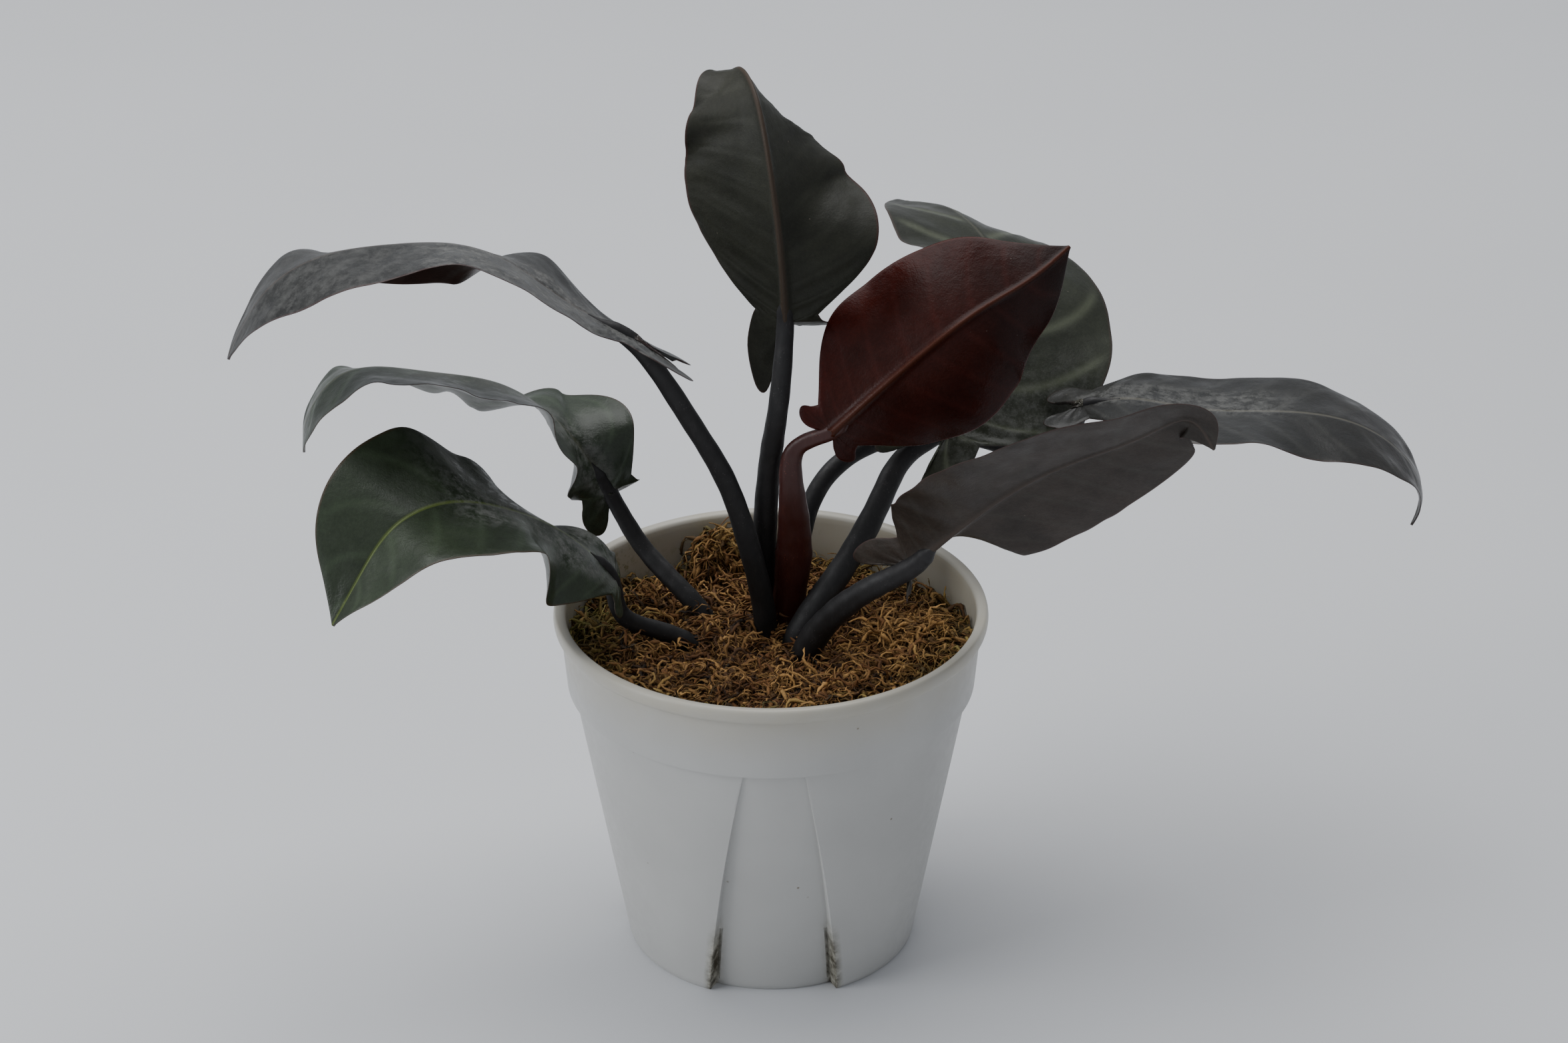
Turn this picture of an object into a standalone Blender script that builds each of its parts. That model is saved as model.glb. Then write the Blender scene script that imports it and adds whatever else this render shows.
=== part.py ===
"""Potted philodendron: eight arrow-shaped leaves on their stalks, a short stem, moss and a nursery pot.

Metres, +Z up. The pot stands on z = 0 with its axis on the Z axis, and the viewer's side is -Y.
Run with: blender --background --python part.py
"""

import math

import bmesh
import bpy
import numpy as np
from mathutils import Matrix

MM = 0.001
SPLINE_POWER = 0.7

# Pot: a 150 mm nursery pot with three recessed wedges that carry its drain slits.
POT_HEIGHT = 0.128
POT_RIM_RADIUS = 0.0750
POT_BEAD_HEIGHT = 0.0052
POT_BEAD_DEPTH = 0.0024
POT_BAND_BOTTOM = 0.1000
POT_BAND_STEP = 0.0020
POT_BODY_TOP_RADIUS = 0.0686
POT_BASE_RADIUS = 0.0506
POT_WALL = 0.0016
POT_FLOOR = 0.0022
WEDGE_COUNT = 3
WEDGE_FIRST_ANGLE = math.radians(-89.0)
WEDGE_TOP_HALF_ANGLE = math.radians(8.5)
WEDGE_BASE_HALF_ANGLE = math.radians(26.0)
WEDGE_TOP_DEPTH = 0.0006
WEDGE_BASE_DEPTH = 0.0048
WEDGE_STEPS = 6
PANEL_STEPS = 9
WALL_LEVELS = 5
BAND_CHAMFER = 0.0006
BEAD_CORNER = 0.0012
BEAD_TOP_CORNER = 0.0010
RIM_LIP = 0.0030
RIM_WIDTH = 0.0042
SLIT_BOTTOM = 0.0040
SLIT_HEIGHT = 0.0220
SLIT_LENGTH = 0.0028
SLIT_THICKNESS = 0.0064
SLIT_INSET = 0.0003

POT_COLOUR = (0.76, 0.77, 0.76)
POT_ROUGHNESS = 0.42

# Moss bed.
MOSS_GAP = 0.0006
MOSS_EDGE_HEIGHT = 0.1130
MOSS_RINGS = 6
MOSS_OUTER_SHARE = 0.97
MOSS_INNER_SHARE = 0.12
MOSS_SHOULDER = 0.0040
MOSS_LUMP = 0.0018
MOSS_LUMP_START = 0.020
MOSS_LUMP_PITCH = 0.070
MOSS_TILT = 0.0040
MOSS_COLOUR = (0.28, 0.16, 0.055)
MOSS_ROUGHNESS = 0.95

# Stem stub and leaf stalks.
STEM_BASE = (-0.0030, -0.0010, 0.0930)
STEM_HEIGHT = 0.0200
STEM_RADIUS = 0.0042
STEM_SIDES = 16
STEM_EDGE = 0.0008
STEM_COLOUR = (0.050, 0.030, 0.030)
STEM_ROUGHNESS = 0.6
HOLE_GAP = 0.0004
HOLE_POINTS = 6
STALK_STEP = 0.0075
STALK_FINE_POINTS = 200
STALK_LEAST_STEPS = 4
STALK_ROUNDNESS = 3
STALK_COLOUR = (0.030, 0.030, 0.034)
STALK_ROUGHNESS = 0.4

# Leaf blades.
BLADE_THICKNESS = 0.0010
BLADE_RUNGS_EAR = 5
BLADE_RUNGS_MAIN = 11
BLADE_COLUMNS = 4
BLADE_FINE_POINTS = 300
BLADE_ROUGHNESS = 0.35
VEIN_SLANT = 0.10
MIDRIB_OFFSET = 1e-6
JOIN_DISTANCE = 1e-5
THIN_EDGE = 5e-6

# Half of the flat outline: (along the midrib in leaf lengths, across in half widths).
EAR_OUTLINE = ((0.0, 0.0), (-0.08, 0.10), (-0.17, 0.20), (-0.165, 0.34), (-0.08, 0.40), (0.02, 0.30))
MAIN_OUTLINE = (
    (0.02, 0.30), (0.07, 0.46), (0.15, 0.72), (0.27, 0.93), (0.42, 1.0),
    (0.58, 0.93), (0.74, 0.72), (0.87, 0.42), (0.95, 0.16), (1.0, 0.0),
)

# Each leaf: midrib points from stalk to tip (mm), the upper face's direction at equal steps along it, the half
# width (mm), and the fold and curl angles (degrees) of the left and right halves at equal steps. ear_length is
# how far the ears reach back, as a share of their outline, and ear_droop tilts them (degrees, left and right).
# Each stalk: points from the moss to the blade (mm), and its radius at equal steps along it (mm).
LEAVES = {
    "leaf_left_high": {
        "midrib": (
            (-46, 0, 229), (-68, 0, 242), (-85, 0, 255), (-102, 0, 262), (-124, -2, 263),
            (-146, -4, 260), (-165, -6, 249), (-180, -8, 224),
        ),
        "face": (
            (0.3, 0.1, 0.9), (0.3, 0.2, 0.9), (0, 0.3, 0.95), (-0.1, 0.3, 0.95), (-0.5, 0.3, 0.8),
            (-0.8, 0.2, 0.4),
        ),
        "half_width": 34,
        "fold": ((0, 0, -5, -18, -35, -25), (-10, 10, -5, -5, 18, 28)),
        "curl": ((0, 0, 0, 0, 0, 0), (0, 0, -50, -50, 0, 0)),
        "ear_length": 0.8,
        "ear_droop": (-5, -5),
        "stalk": ((-2, 8, 98), (-2, 7, 118), (-7, 5, 146), (-15, 4, 173), (-27, 2, 197), (-37, 1, 214)),
        "radius": (4.0, 3.9, 3.6, 3.3, 2.8),
        "colour": (0.060, 0.062, 0.060),
    },
    "leaf_left_middle": {
        "midrib": (
            (-56, 30, 157), (-63, 28, 170), (-73, 26, 185), (-91, 24, 200), (-117, 20, 207),
            (-144, 14, 209), (-157, 10, 194), (-159, 10, 181),
        ),
        "face": (
            (0.5, -0.8, 0.3), (0.2, -0.4, 0.9), (-0.1, 0.1, 0.95), (-0.3, 0.3, 0.9),
            (-0.8, 0.2, 0.5), (-0.9, 0, 0.3),
        ),
        "half_width": 34,
        "fold": (
            (-15, 15, 32, 22, 0, -10, -15, -22, -28, -20, -10),
            (45, 30, -28, -46, -34, -20, -8, 2, 12, 8, 5),
        ),
        "curl": ((0, 0, 5, 10, 15, 18, 20, 15, 10, 5, 0), (0, 0)),
        "ear_length": 0.6,
        "ear_droop": (-20, -60),
        "stalk": ((-14, 11, 100), (-23, 15, 115), (-34, 21, 126), (-46, 29, 137), (-55, 35, 150)),
        "radius": (3.6, 3.5, 3.3, 3.0, 2.6),
        "colour": (0.085, 0.110, 0.070),
    },
    "leaf_left_low": {
        "midrib": (
            (-53, -12, 145), (-69, -20, 166), (-88, -28, 179), (-107, -40, 187),
            (-123, -52, 184), (-134, -60, 170), (-143, -66, 155),
        ),
        "face": (
            (-0.1, -0.1, 0.95), (-0.1, -0.1, 0.95), (-0.2, -0.3, 0.9), (-0.5, -0.5, 0.7),
            (-0.6, -0.6, 0.4),
        ),
        "half_width": 36,
        "fold": ((-15, -10, 8, 0, 5, 20), (25, -20, -5, 22, 40, 20)),
        "curl": ((-70, -60, 0, 0, 0, 0), (0, -20, 0, 0, 0, 0)),
        "ear_length": 0.3,
        "ear_droop": (-20, -20),
        "stalk": ((-12, -4, 104), (-22, -6, 113), (-39, -9, 123), (-51, -12, 131), (-54, -12, 139)),
        "radius": (3.3, 3.2, 3.0, 2.6),
        "colour": (0.070, 0.100, 0.060),
    },
    "leaf_upright": {
        "midrib": (
            (5, 8, 231), (4, 4, 252), (2, 3, 272), (-1, 8, 292), (-5, 20, 307), (-10, 36, 310),
            (-15, 50, 301),
        ),
        "face": (
            (0, -0.95, 0.1), (0, -0.95, 0.15), (0.05, -0.93, 0.3), (0.15, -0.85, 0.5),
            (0.3, -0.5, 0.8), (0.4, 0.2, 0.85),
        ),
        "half_width": 37,
        "fold": ((-25, -35, -42, -46, -42, -10), (0, -5, -45, -52, -45, -20)),
        "curl": ((0, 0, 0, 0, 0, 0), (0, 0, 0, 0, 0, 0)),
        "ear_length": 1.5,
        "ear_droop": (0, -50),
        "stalk": ((-3, 20, 98), (-2, 19, 120), (-2, 14, 150), (0, 10, 180), (3, 4, 205), (6, 3, 225)),
        "radius": (4.2, 4.2, 4.1, 3.8, 3.3, 2.8),
        "colour": (0.050, 0.055, 0.047),
    },
    "leaf_red": {
        "midrib": (
            (21, 0, 194), (35, 2, 207), (53, 6, 222), (71, 12, 234), (87, 20, 241), (101, 30, 249),
        ),
        "face": ((-0.3, -0.8, 0.5), (-0.3, -0.8, 0.5), (-0.3, -0.8, 0.5)),
        "half_width": 34,
        "fold": ((10, 5, 0, 0, 0, 0), (-40, -30, -20, -25, -40, -50)),
        "curl": ((0, 0, -20, -20, -10, -10), (-20, -30, -30, -30, -30, -30)),
        "ear_length": 0.3,
        "ear_droop": (0, 0),
        "stalk": ((5, 15, 98), (6, 13, 120), (8, 9, 146), (7, 4, 172), (9, 4, 186), (17, 6, 190)),
        "radius": (4.4, 5.6, 6.4, 4.6, 3.0, 2.4),
        "colour": (0.130, 0.030, 0.022),
    },
    "leaf_back": {
        "midrib": (
            (62, 35, 179), (77, 44, 193), (82, 54, 206), (82, 68, 219), (74, 86, 229),
            (62, 108, 231), (50, 130, 222),
        ),
        "face": (
            (0, -0.8, 0.6), (0.1, -0.7, 0.7), (0.35, -0.55, 0.75), (0.4, -0.35, 0.8), (0.3, 0, 0.9),
            (0.2, 0.4, 0.9),
        ),
        "half_width": 42,
        "fold": ((10, 15, 30, 5, -5, 0), (10, -10, -8, -12, -15, -5)),
        "curl": ((0, 0, 0, 0, 0, 0), (0, 0, 0, 0, 0, 0)),
        "ear_length": 1.0,
        "ear_droop": (0, 0),
        "stalk": (
            (7, 0, 98), (9, 0, 114), (16, 4, 126), (26, 12, 138), (38, 23, 157), (47, 33, 169),
            (58, 38, 174),
        ),
        "radius": (4.8, 4.8, 4.5, 4.2, 3.6, 2.8),
        "colour": (0.100, 0.120, 0.090),
    },
    "leaf_right_far": {
        "midrib": (
            (107, 30, 190), (123, 28, 193), (146, 26, 190), (169, 24, 190), (191, 22, 189),
            (212, 20, 180), (224, 18, 162), (221, 16, 150),
        ),
        "face": ((0, -0.1, 0.95), (0, -0.1, 0.95), (0.1, -0.1, 0.95), (0.4, -0.1, 0.8), (0.9, 0, 0.4)),
        "half_width": 34,
        "fold": ((-5, -10, -10, -10, -8, 0), (0, 10, 12, 2, 2, 0)),
        "curl": ((0, 0, 0, 0, 0, 0), (0, 0, 0, 0, 0, 0)),
        "ear_length": 0.5,
        "ear_droop": (0, 0),
        "stalk": (
            (9, 26, 98), (9, 27, 125), (13, 32, 148), (22, 41, 160), (48, 54, 167), (80, 50, 165),
            (101, 36, 168), (107, 29, 182),
        ),
        "radius": (3.4, 3.4, 3.3, 3.0, 2.6),
        "colour": (0.075, 0.078, 0.075),
    },
    "leaf_right_front": {
        "midrib": (
            (47, -30, 159), (62, -38, 177), (79, -46, 195), (99, -54, 210),
            (120, -60, 222), (134, -64, 229), (142, -66, 219),
        ),
        "face": (
            (-0.3, 0.75, 0.6), (-0.3, 0.75, 0.6), (-0.3, 0.75, 0.6), (-0.2, 0.7, 0.6),
            (0.1, 0.6, 0.6),
        ),
        "half_width": 34,
        "fold": (
            (70, 30, -20, -20, -22, -20, -18, -19, -20, -20, -20),
            (60, 35, 15, 8, 5, 2, 0, 0, 0, 0, 0),
        ),
        "curl": ((0, 0, 0, 0, 0, 0), (0, 0, 0, 0, 0, 0)),
        "ear_length": 0.8,
        "ear_droop": (-60, 15),
        "stalk": ((10, -11, 98), (12, -13, 116), (23, -21, 137), (36, -27, 150), (44, -30, 155)),
        "radius": (5.2, 5.0, 4.4, 3.8, 3.0),
        "colour": (0.090, 0.078, 0.070),
    },
}


def clear_scene():
    """Remove every object that the file starts with."""
    for obj in list(bpy.data.objects):
        bpy.data.objects.remove(obj)


def new_collection(name, hidden=False):
    """A collection in the scene; a hidden one holds the cutters."""
    collection = bpy.data.collections.new(name)
    collection.hide_render = hidden
    bpy.context.scene.collection.children.link(collection)
    return collection


def material(name, colour, roughness):
    """A Principled material of one colour."""
    made = bpy.data.materials.new(name)
    made.use_nodes = True
    made.diffuse_color = (*colour, 1.0)
    shader = made.node_tree.nodes["Principled BSDF"]
    shader.inputs["Base Color"].default_value = (*colour, 1.0)
    shader.inputs["Roughness"].default_value = roughness
    return made


def mesh_object(name, points, faces, collection, surface=None):
    """A mesh object from points and faces, with coincident points joined and its faces turned outward."""
    mesh = bpy.data.meshes.new(name)
    mesh.from_pydata([tuple(point) for point in points], [], faces)
    shape = bmesh.new()
    shape.from_mesh(mesh)
    bmesh.ops.remove_doubles(shape, verts=shape.verts, dist=JOIN_DISTANCE)
    bmesh.ops.dissolve_degenerate(shape, edges=shape.edges, dist=THIN_EDGE)
    bmesh.ops.recalc_face_normals(shape, faces=shape.faces)
    shape.to_mesh(mesh)
    shape.free()
    obj = bpy.data.objects.new(name, mesh)
    collection.objects.link(obj)
    if surface:
        mesh.materials.append(surface)
    return obj


def spline(points, places):
    """Points at the given places (0 to 1) on a natural cubic spline, knots spaced by chord to a power."""
    points = np.asarray(points, float)
    steps = np.linalg.norm(np.diff(points, axis=0), axis=1) ** SPLINE_POWER
    knots = np.concatenate([[0.0], np.cumsum(steps)])
    knots /= knots[-1]
    gaps = np.diff(knots)
    count = len(points)
    system = np.eye(count)
    right = np.zeros_like(points)
    for i in range(1, count - 1):
        system[i, i - 1 : i + 2] = gaps[i - 1], 2 * (gaps[i - 1] + gaps[i]), gaps[i]
        right[i] = 6 * ((points[i + 1] - points[i]) / gaps[i] - (points[i] - points[i - 1]) / gaps[i - 1])
    bend = np.linalg.solve(system, right)
    places = np.clip(np.atleast_1d(places), 0.0, 1.0)
    span = np.clip(np.searchsorted(knots, places, side="right") - 1, 0, count - 2)
    gap = gaps[span][:, None]
    past = (places - knots[span])[:, None]
    left = (knots[span + 1] - places)[:, None]
    return (
        (bend[span] * left**3 + bend[span + 1] * past**3) / (6 * gap)
        + (points[span] / gap - bend[span] * gap / 6) * left
        + (points[span + 1] / gap - bend[span + 1] * gap / 6) * past
    )


def blend(values, places):
    """Values given at equal steps from 0 to 1, read at places with a smooth step between neighbours."""
    values = np.asarray(values, float)
    position = np.clip(places, 0.0, 1.0) * (len(values) - 1)
    low = np.minimum(position.astype(int), len(values) - 2)
    part = position - low
    part = part * part * (3 - 2 * part)
    if values.ndim > 1:
        part = part[..., None]
    return values[low] * (1 - part) + values[low + 1] * part


def unit(vectors):
    """The vectors at length 1."""
    return vectors / np.linalg.norm(vectors, axis=-1, keepdims=True)


def blade_points(leaf, along, across):
    """Where flat outline points lie in space. along is in leaf lengths, across in half widths."""
    line = spline(np.array(leaf["midrib"], float) * MM, np.linspace(0, 1, BLADE_FINE_POINTS))
    run = np.concatenate([[0.0], np.cumsum(np.linalg.norm(np.diff(line, axis=0), axis=1))])
    length = run[-1]
    heading = unit(np.gradient(line, run, axis=0))
    reach = np.clip(along, 0, 1) * length
    middle = np.stack([np.interp(reach, run, line[:, axis]) for axis in range(3)], -1)
    forward = unit(np.stack([np.interp(reach, run, heading[:, axis]) for axis in range(3)], -1))
    up = blend(leaf["face"], along)
    up = unit(up - (up * forward).sum(-1, keepdims=True) * forward)
    side = np.cross(forward, up)
    right = across > 0
    width = np.abs(across)
    fold = np.radians(np.where(right, blend(leaf["fold"][1], along), blend(leaf["fold"][0], along)))
    curl = np.radians(np.where(right, blend(leaf["curl"][1], along), blend(leaf["curl"][0], along)))
    droop = np.radians(np.where(right, leaf["ear_droop"][1], leaf["ear_droop"][0]))
    behind = (np.minimum(along, 0) * length * leaf["ear_length"])[..., None]
    middle = middle + behind * (np.cos(droop)[..., None] * forward - np.sin(droop)[..., None] * up)
    angle = fold + curl * width / 2
    chord = width * leaf["half_width"] * MM * np.sinc(curl * width / (2 * np.pi))
    outward = np.where(right, 1.0, -1.0) * chord * np.cos(angle)
    return middle + outward[..., None] * side + (chord * np.sin(angle))[..., None] * up


def blade_grid(side_sign):
    """The flat grid of one half blade: rows run like its veins, from the midrib to the edge."""
    ear = spline(EAR_OUTLINE, np.linspace(0, 1, BLADE_RUNGS_EAR + 1))[:-1]
    main = spline(MAIN_OUTLINE, np.linspace(0, 1, BLADE_RUNGS_MAIN))
    edge = np.vstack([ear, main])
    foot = np.clip(edge[:, 0] - VEIN_SLANT * edge[:, 1], 0, 1)
    out = np.linspace(0, 1, BLADE_COLUMNS + 1)
    along = foot[:, None] + (edge[:, 0] - foot)[:, None] * out
    across = np.maximum(edge[:, 1][:, None], 0.0) * out
    return along, side_sign * np.maximum(across, MIDRIB_OFFSET)


def grid_faces(rows, columns, first, flip):
    """The four-sided faces of a grid of points, numbered from first."""
    faces = []
    for row in range(rows - 1):
        for column in range(columns - 1):
            corner = first + row * columns + column
            face = (corner, corner + columns, corner + columns + 1, corner + 1)
            faces.append(face[::-1] if flip else face)
    return faces


def make_blade(name, leaf, collection):
    """Both halves of a blade as one open surface, thickened into a closed one."""
    points = []
    faces = []
    for side_sign in (-1, 1):
        along, across = blade_grid(side_sign)
        faces += grid_faces(*along.shape, len(points), side_sign > 0)
        points += list(blade_points(leaf, along, across).reshape(-1, 3))
    obj = mesh_object(name, points, faces, collection, material(name, leaf["colour"], BLADE_ROUGHNESS))
    solid = obj.modifiers.new("Thickness", "SOLIDIFY")
    solid.thickness = BLADE_THICKNESS
    solid.offset = 0.0
    solid.use_even_offset = False
    return obj


def stalk_route(leaf):
    """The stalk's centre line and radii, ended just under the blade's first point."""
    route = np.array(leaf["stalk"], float) * MM
    radii = np.array(leaf["radius"], float) * MM
    line = spline(route, np.linspace(0, 1, STALK_FINE_POINTS))
    length = np.linalg.norm(np.diff(line, axis=0), axis=1).sum()
    count = max(STALK_LEAST_STEPS, round(length / STALK_STEP)) + 1
    places = np.linspace(0, 1, count)
    sizes = np.interp(places, np.linspace(0, 1, len(radii)), radii)
    return spline(route, places), sizes


def tube(name, points, radii, collection, surface=None):
    """A round rod along points, with its own radius at each one and flat ends."""
    curve = bpy.data.curves.new(name, "CURVE")
    curve.dimensions = "3D"
    curve.bevel_depth = 1.0
    curve.bevel_resolution = STALK_ROUNDNESS
    curve.use_fill_caps = True
    line = curve.splines.new("POLY")
    line.points.add(len(points) - 1)
    for point, place, radius in zip(line.points, points, radii):
        point.co = (*place, 1.0)
        point.radius = radius
    obj = bpy.data.objects.new(name, curve)
    collection.objects.link(obj)
    if surface:
        curve.materials.append(surface)
    return obj


def curve_to_mesh(obj):
    """The curve object as a closed mesh object of the same name."""
    bpy.context.view_layer.update()
    evaluated = obj.evaluated_get(bpy.context.evaluated_depsgraph_get())
    mesh = bpy.data.meshes.new_from_object(evaluated)
    shape = bmesh.new()
    shape.from_mesh(mesh)
    bmesh.ops.remove_doubles(shape, verts=shape.verts, dist=JOIN_DISTANCE)
    shape.to_mesh(mesh)
    shape.free()
    name = obj.name
    collection = obj.users_collection[0]
    bpy.data.objects.remove(obj)
    made = bpy.data.objects.new(name, mesh)
    collection.objects.link(made)
    return made


def cut(obj, cutter):
    """Take the cutter's shape out of the object."""
    cutter.display_type = "WIRE"
    cutter.hide_render = True
    boolean = obj.modifiers.new(cutter.name, "BOOLEAN")
    boolean.operation = "DIFFERENCE"
    boolean.solver = "EXACT"
    boolean.object = cutter
    return boolean


def move_to(obj, collection):
    """Move a new object from the collection it was made in to its own."""
    obj.users_collection[0].objects.unlink(obj)
    collection.objects.link(obj)


def wedge_share(height):
    """0 at the underside and 1 at the band's lower edge."""
    return np.clip(height / POT_BAND_BOTTOM, 0, 1)


def wedge_half_angle(height):
    """Half the angle that a wedge spans at this height."""
    return WEDGE_BASE_HALF_ANGLE + (WEDGE_TOP_HALF_ANGLE - WEDGE_BASE_HALF_ANGLE) * wedge_share(height)


def body_radius(height):
    """The panels' outer radius at this height."""
    return POT_BASE_RADIUS + (POT_BODY_TOP_RADIUS - POT_BASE_RADIUS) * wedge_share(height)


def wall_ring(height, inset):
    """One level of the body's wall: panels and recessed wedges in turn, inset from the outer surface."""
    outer = body_radius(height) - inset
    depth = WEDGE_BASE_DEPTH + (WEDGE_TOP_DEPTH - WEDGE_BASE_DEPTH) * wedge_share(height)
    half = wedge_half_angle(height) + inset / outer
    pitch = 2 * math.pi / WEDGE_COUNT
    ring = []
    for index in range(WEDGE_COUNT):
        centre = WEDGE_FIRST_ANGLE + index * pitch
        for angle in np.linspace(centre - half, centre + half, WEDGE_STEPS):
            ring.append(((outer - depth) * math.cos(angle), (outer - depth) * math.sin(angle), height))
        for angle in np.linspace(centre + half, centre + pitch - half, PANEL_STEPS):
            ring.append((outer * math.cos(angle), outer * math.sin(angle), height))
    return ring


def round_ring(radius, height):
    """A round level with as many points as wall_ring, at the angles of the wall's upper edge."""
    ring = np.array(wall_ring(POT_BAND_BOTTOM, 0.0))
    flat = ring[:, :2] / np.linalg.norm(ring[:, :2], axis=1, keepdims=True)
    return [(radius * x, radius * y, height) for x, y in flat]


def rings_to_solid(name, rings, collection, surface):
    """A closed solid from stacked rings, its first and last ring filled."""
    count = len(rings[0])
    points = [point for ring in rings for point in ring]
    faces = [tuple(range(count))[::-1]]
    for level in range(len(rings) - 1):
        for index in range(count):
            following = (index + 1) % count
            low = level * count
            high = low + count
            faces.append((low + index, low + following, high + following, high + index))
    last = (len(rings) - 1) * count
    faces.append(tuple(range(last, last + count)))
    return mesh_object(name, points, faces, collection, surface)


def make_pot(collection, cutters):
    """The pot: wedge-cut outer wall, band and bead, then the inner wall down to the floor."""
    band_radius = POT_BODY_TOP_RADIUS + POT_BAND_STEP
    neck_radius = POT_RIM_RADIUS - POT_BEAD_DEPTH
    bead_bottom = POT_HEIGHT - POT_BEAD_HEIGHT
    band_low = POT_BAND_BOTTOM + BAND_CHAMFER
    rings = [wall_ring(height, 0.0) for height in np.linspace(0, POT_BAND_BOTTOM, WALL_LEVELS)]
    rings += [
        round_ring(band_radius, band_low),
        round_ring(neck_radius, bead_bottom - BAND_CHAMFER),
        round_ring(POT_RIM_RADIUS - BAND_CHAMFER, bead_bottom),
        round_ring(POT_RIM_RADIUS, bead_bottom + BEAD_CORNER),
        round_ring(POT_RIM_RADIUS, POT_HEIGHT - BEAD_CORNER),
        round_ring(POT_RIM_RADIUS - BEAD_TOP_CORNER, POT_HEIGHT),
        round_ring(POT_RIM_RADIUS - RIM_LIP, POT_HEIGHT),
        round_ring(POT_RIM_RADIUS - RIM_WIDTH, POT_HEIGHT - BEAD_CORNER),
        round_ring(band_radius - POT_WALL, band_low),
    ]
    inner_top = POT_BAND_BOTTOM - BAND_CHAMFER
    rings += [wall_ring(height, POT_WALL) for height in np.linspace(inner_top, POT_FLOOR, WALL_LEVELS)]
    pot = rings_to_solid("pot", rings, collection, material("pot", POT_COLOUR, POT_ROUGHNESS))
    for index in range(WEDGE_COUNT):
        for side in (-1, 1):
            cut(pot, make_slit(index, side, cutters))
    return pot


def make_slit(index, side, cutters):
    """A cutter through the step between a recessed wedge and its neighbouring panel, near the floor."""
    height = SLIT_BOTTOM + SLIT_HEIGHT / 2
    angle = WEDGE_FIRST_ANGLE + index * 2 * math.pi / WEDGE_COUNT + side * wedge_half_angle(height)
    radius = body_radius(height) - POT_WALL - SLIT_LENGTH / 2 - SLIT_INSET
    bpy.ops.mesh.primitive_cube_add(size=1.0)
    cutter = bpy.context.object
    cutter.name = f"slit_{index}_{'left' if side < 0 else 'right'}"
    cutter.scale = (SLIT_LENGTH, SLIT_THICKNESS, SLIT_HEIGHT)
    cutter.rotation_euler = (0, 0, angle)
    cutter.location = (radius * math.cos(angle), radius * math.sin(angle), height)
    move_to(cutter, cutters)
    return cutter


def moss_height(x, y):
    """The lumpy top of the moss: sunk towards the back, with low swells that fade out at the middle."""
    radius = math.hypot(x, y)
    swell = math.sin(2 * math.pi * x / MOSS_LUMP_PITCH + 1) * math.cos(2 * math.pi * y / MOSS_LUMP_PITCH)
    fade = min(1.0, radius / MOSS_LUMP_START)
    return MOSS_EDGE_HEIGHT + MOSS_LUMP * swell * fade - MOSS_TILT * y / POT_RIM_RADIUS


def make_moss(collection):
    """The moss bed: it fills the pot just inside its wall, with a lumpy top that slopes to the back."""
    inset = POT_WALL + MOSS_GAP
    base = POT_FLOOR + MOSS_GAP
    top = POT_BAND_BOTTOM - BEAD_TOP_CORNER
    rings = [wall_ring(height, inset) for height in np.linspace(base, top, WALL_LEVELS)]
    edge = round_ring(POT_BODY_TOP_RADIUS - inset, POT_BAND_BOTTOM + MOSS_SHOULDER)
    rings.append(edge)
    for share in np.linspace(MOSS_OUTER_SHARE, MOSS_INNER_SHARE, MOSS_RINGS):
        rings.append([(x * share, y * share, moss_height(x * share, y * share)) for x, y, _ in edge])
    return rings_to_solid("moss", rings, collection, material("moss", MOSS_COLOUR, MOSS_ROUGHNESS))


def make_stem(collection, cutters, moss):
    """The short stem stub that the stalks stand round, and the hole it stands in."""
    x, y, low = STEM_BASE
    bpy.ops.mesh.primitive_cylinder_add(vertices=STEM_SIDES, radius=STEM_RADIUS, depth=STEM_HEIGHT)
    stem = bpy.context.object
    stem.name = "stem"
    stem.location = (x, y, low + STEM_HEIGHT / 2)
    move_to(stem, collection)
    stem.data.materials.append(material("stem", STEM_COLOUR, STEM_ROUGHNESS))
    edge = stem.modifiers.new("Edge", "BEVEL")
    edge.width = STEM_EDGE
    edge.segments = 2
    bpy.ops.mesh.primitive_cylinder_add(
        vertices=STEM_SIDES, radius=STEM_RADIUS + HOLE_GAP, depth=2 * STEM_HEIGHT
    )
    hole = bpy.context.object
    hole.name = "hole_stem"
    hole.location = (x, y, low + STEM_HEIGHT - HOLE_GAP)
    move_to(hole, cutters)
    cut(moss, hole)


def make_stalks(collection, cutters, moss):
    """A stalk for each leaf, and the hole it stands in."""
    for name, leaf in LEAVES.items():
        stalk_name = name.replace("leaf", "stalk")
        points, radii = stalk_route(leaf)
        colour = leaf["colour"] if name == "leaf_red" else STALK_COLOUR
        tube(stalk_name, points, radii, collection, material(stalk_name, colour, STALK_ROUGHNESS))
        wider = radii[:HOLE_POINTS] + HOLE_GAP
        hole = curve_to_mesh(tube(f"hole_{stalk_name}", points[:HOLE_POINTS], wider, cutters))
        hole.data.transform(Matrix.Translation((0, 0, -HOLE_GAP)))
        cut(moss, hole)


def main():
    clear_scene()
    parts = new_collection("potted_philodendron")
    cutters = new_collection("cutters", hidden=True)
    make_pot(parts, cutters)
    moss = make_moss(parts)
    make_stem(parts, cutters, moss)
    make_stalks(parts, cutters, moss)
    for name, leaf in LEAVES.items():
        make_blade(name, leaf, parts)


main()
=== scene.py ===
"""Potted philodendron: the finished surfaces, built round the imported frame.

Metres, +Z up. The pot stands on z = 0 with its axis on the Z axis, and the viewer's side is -Y.
The pot, moss, stem, stalks and blades each have an operator, and main() runs them in order.
"""

import math

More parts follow.
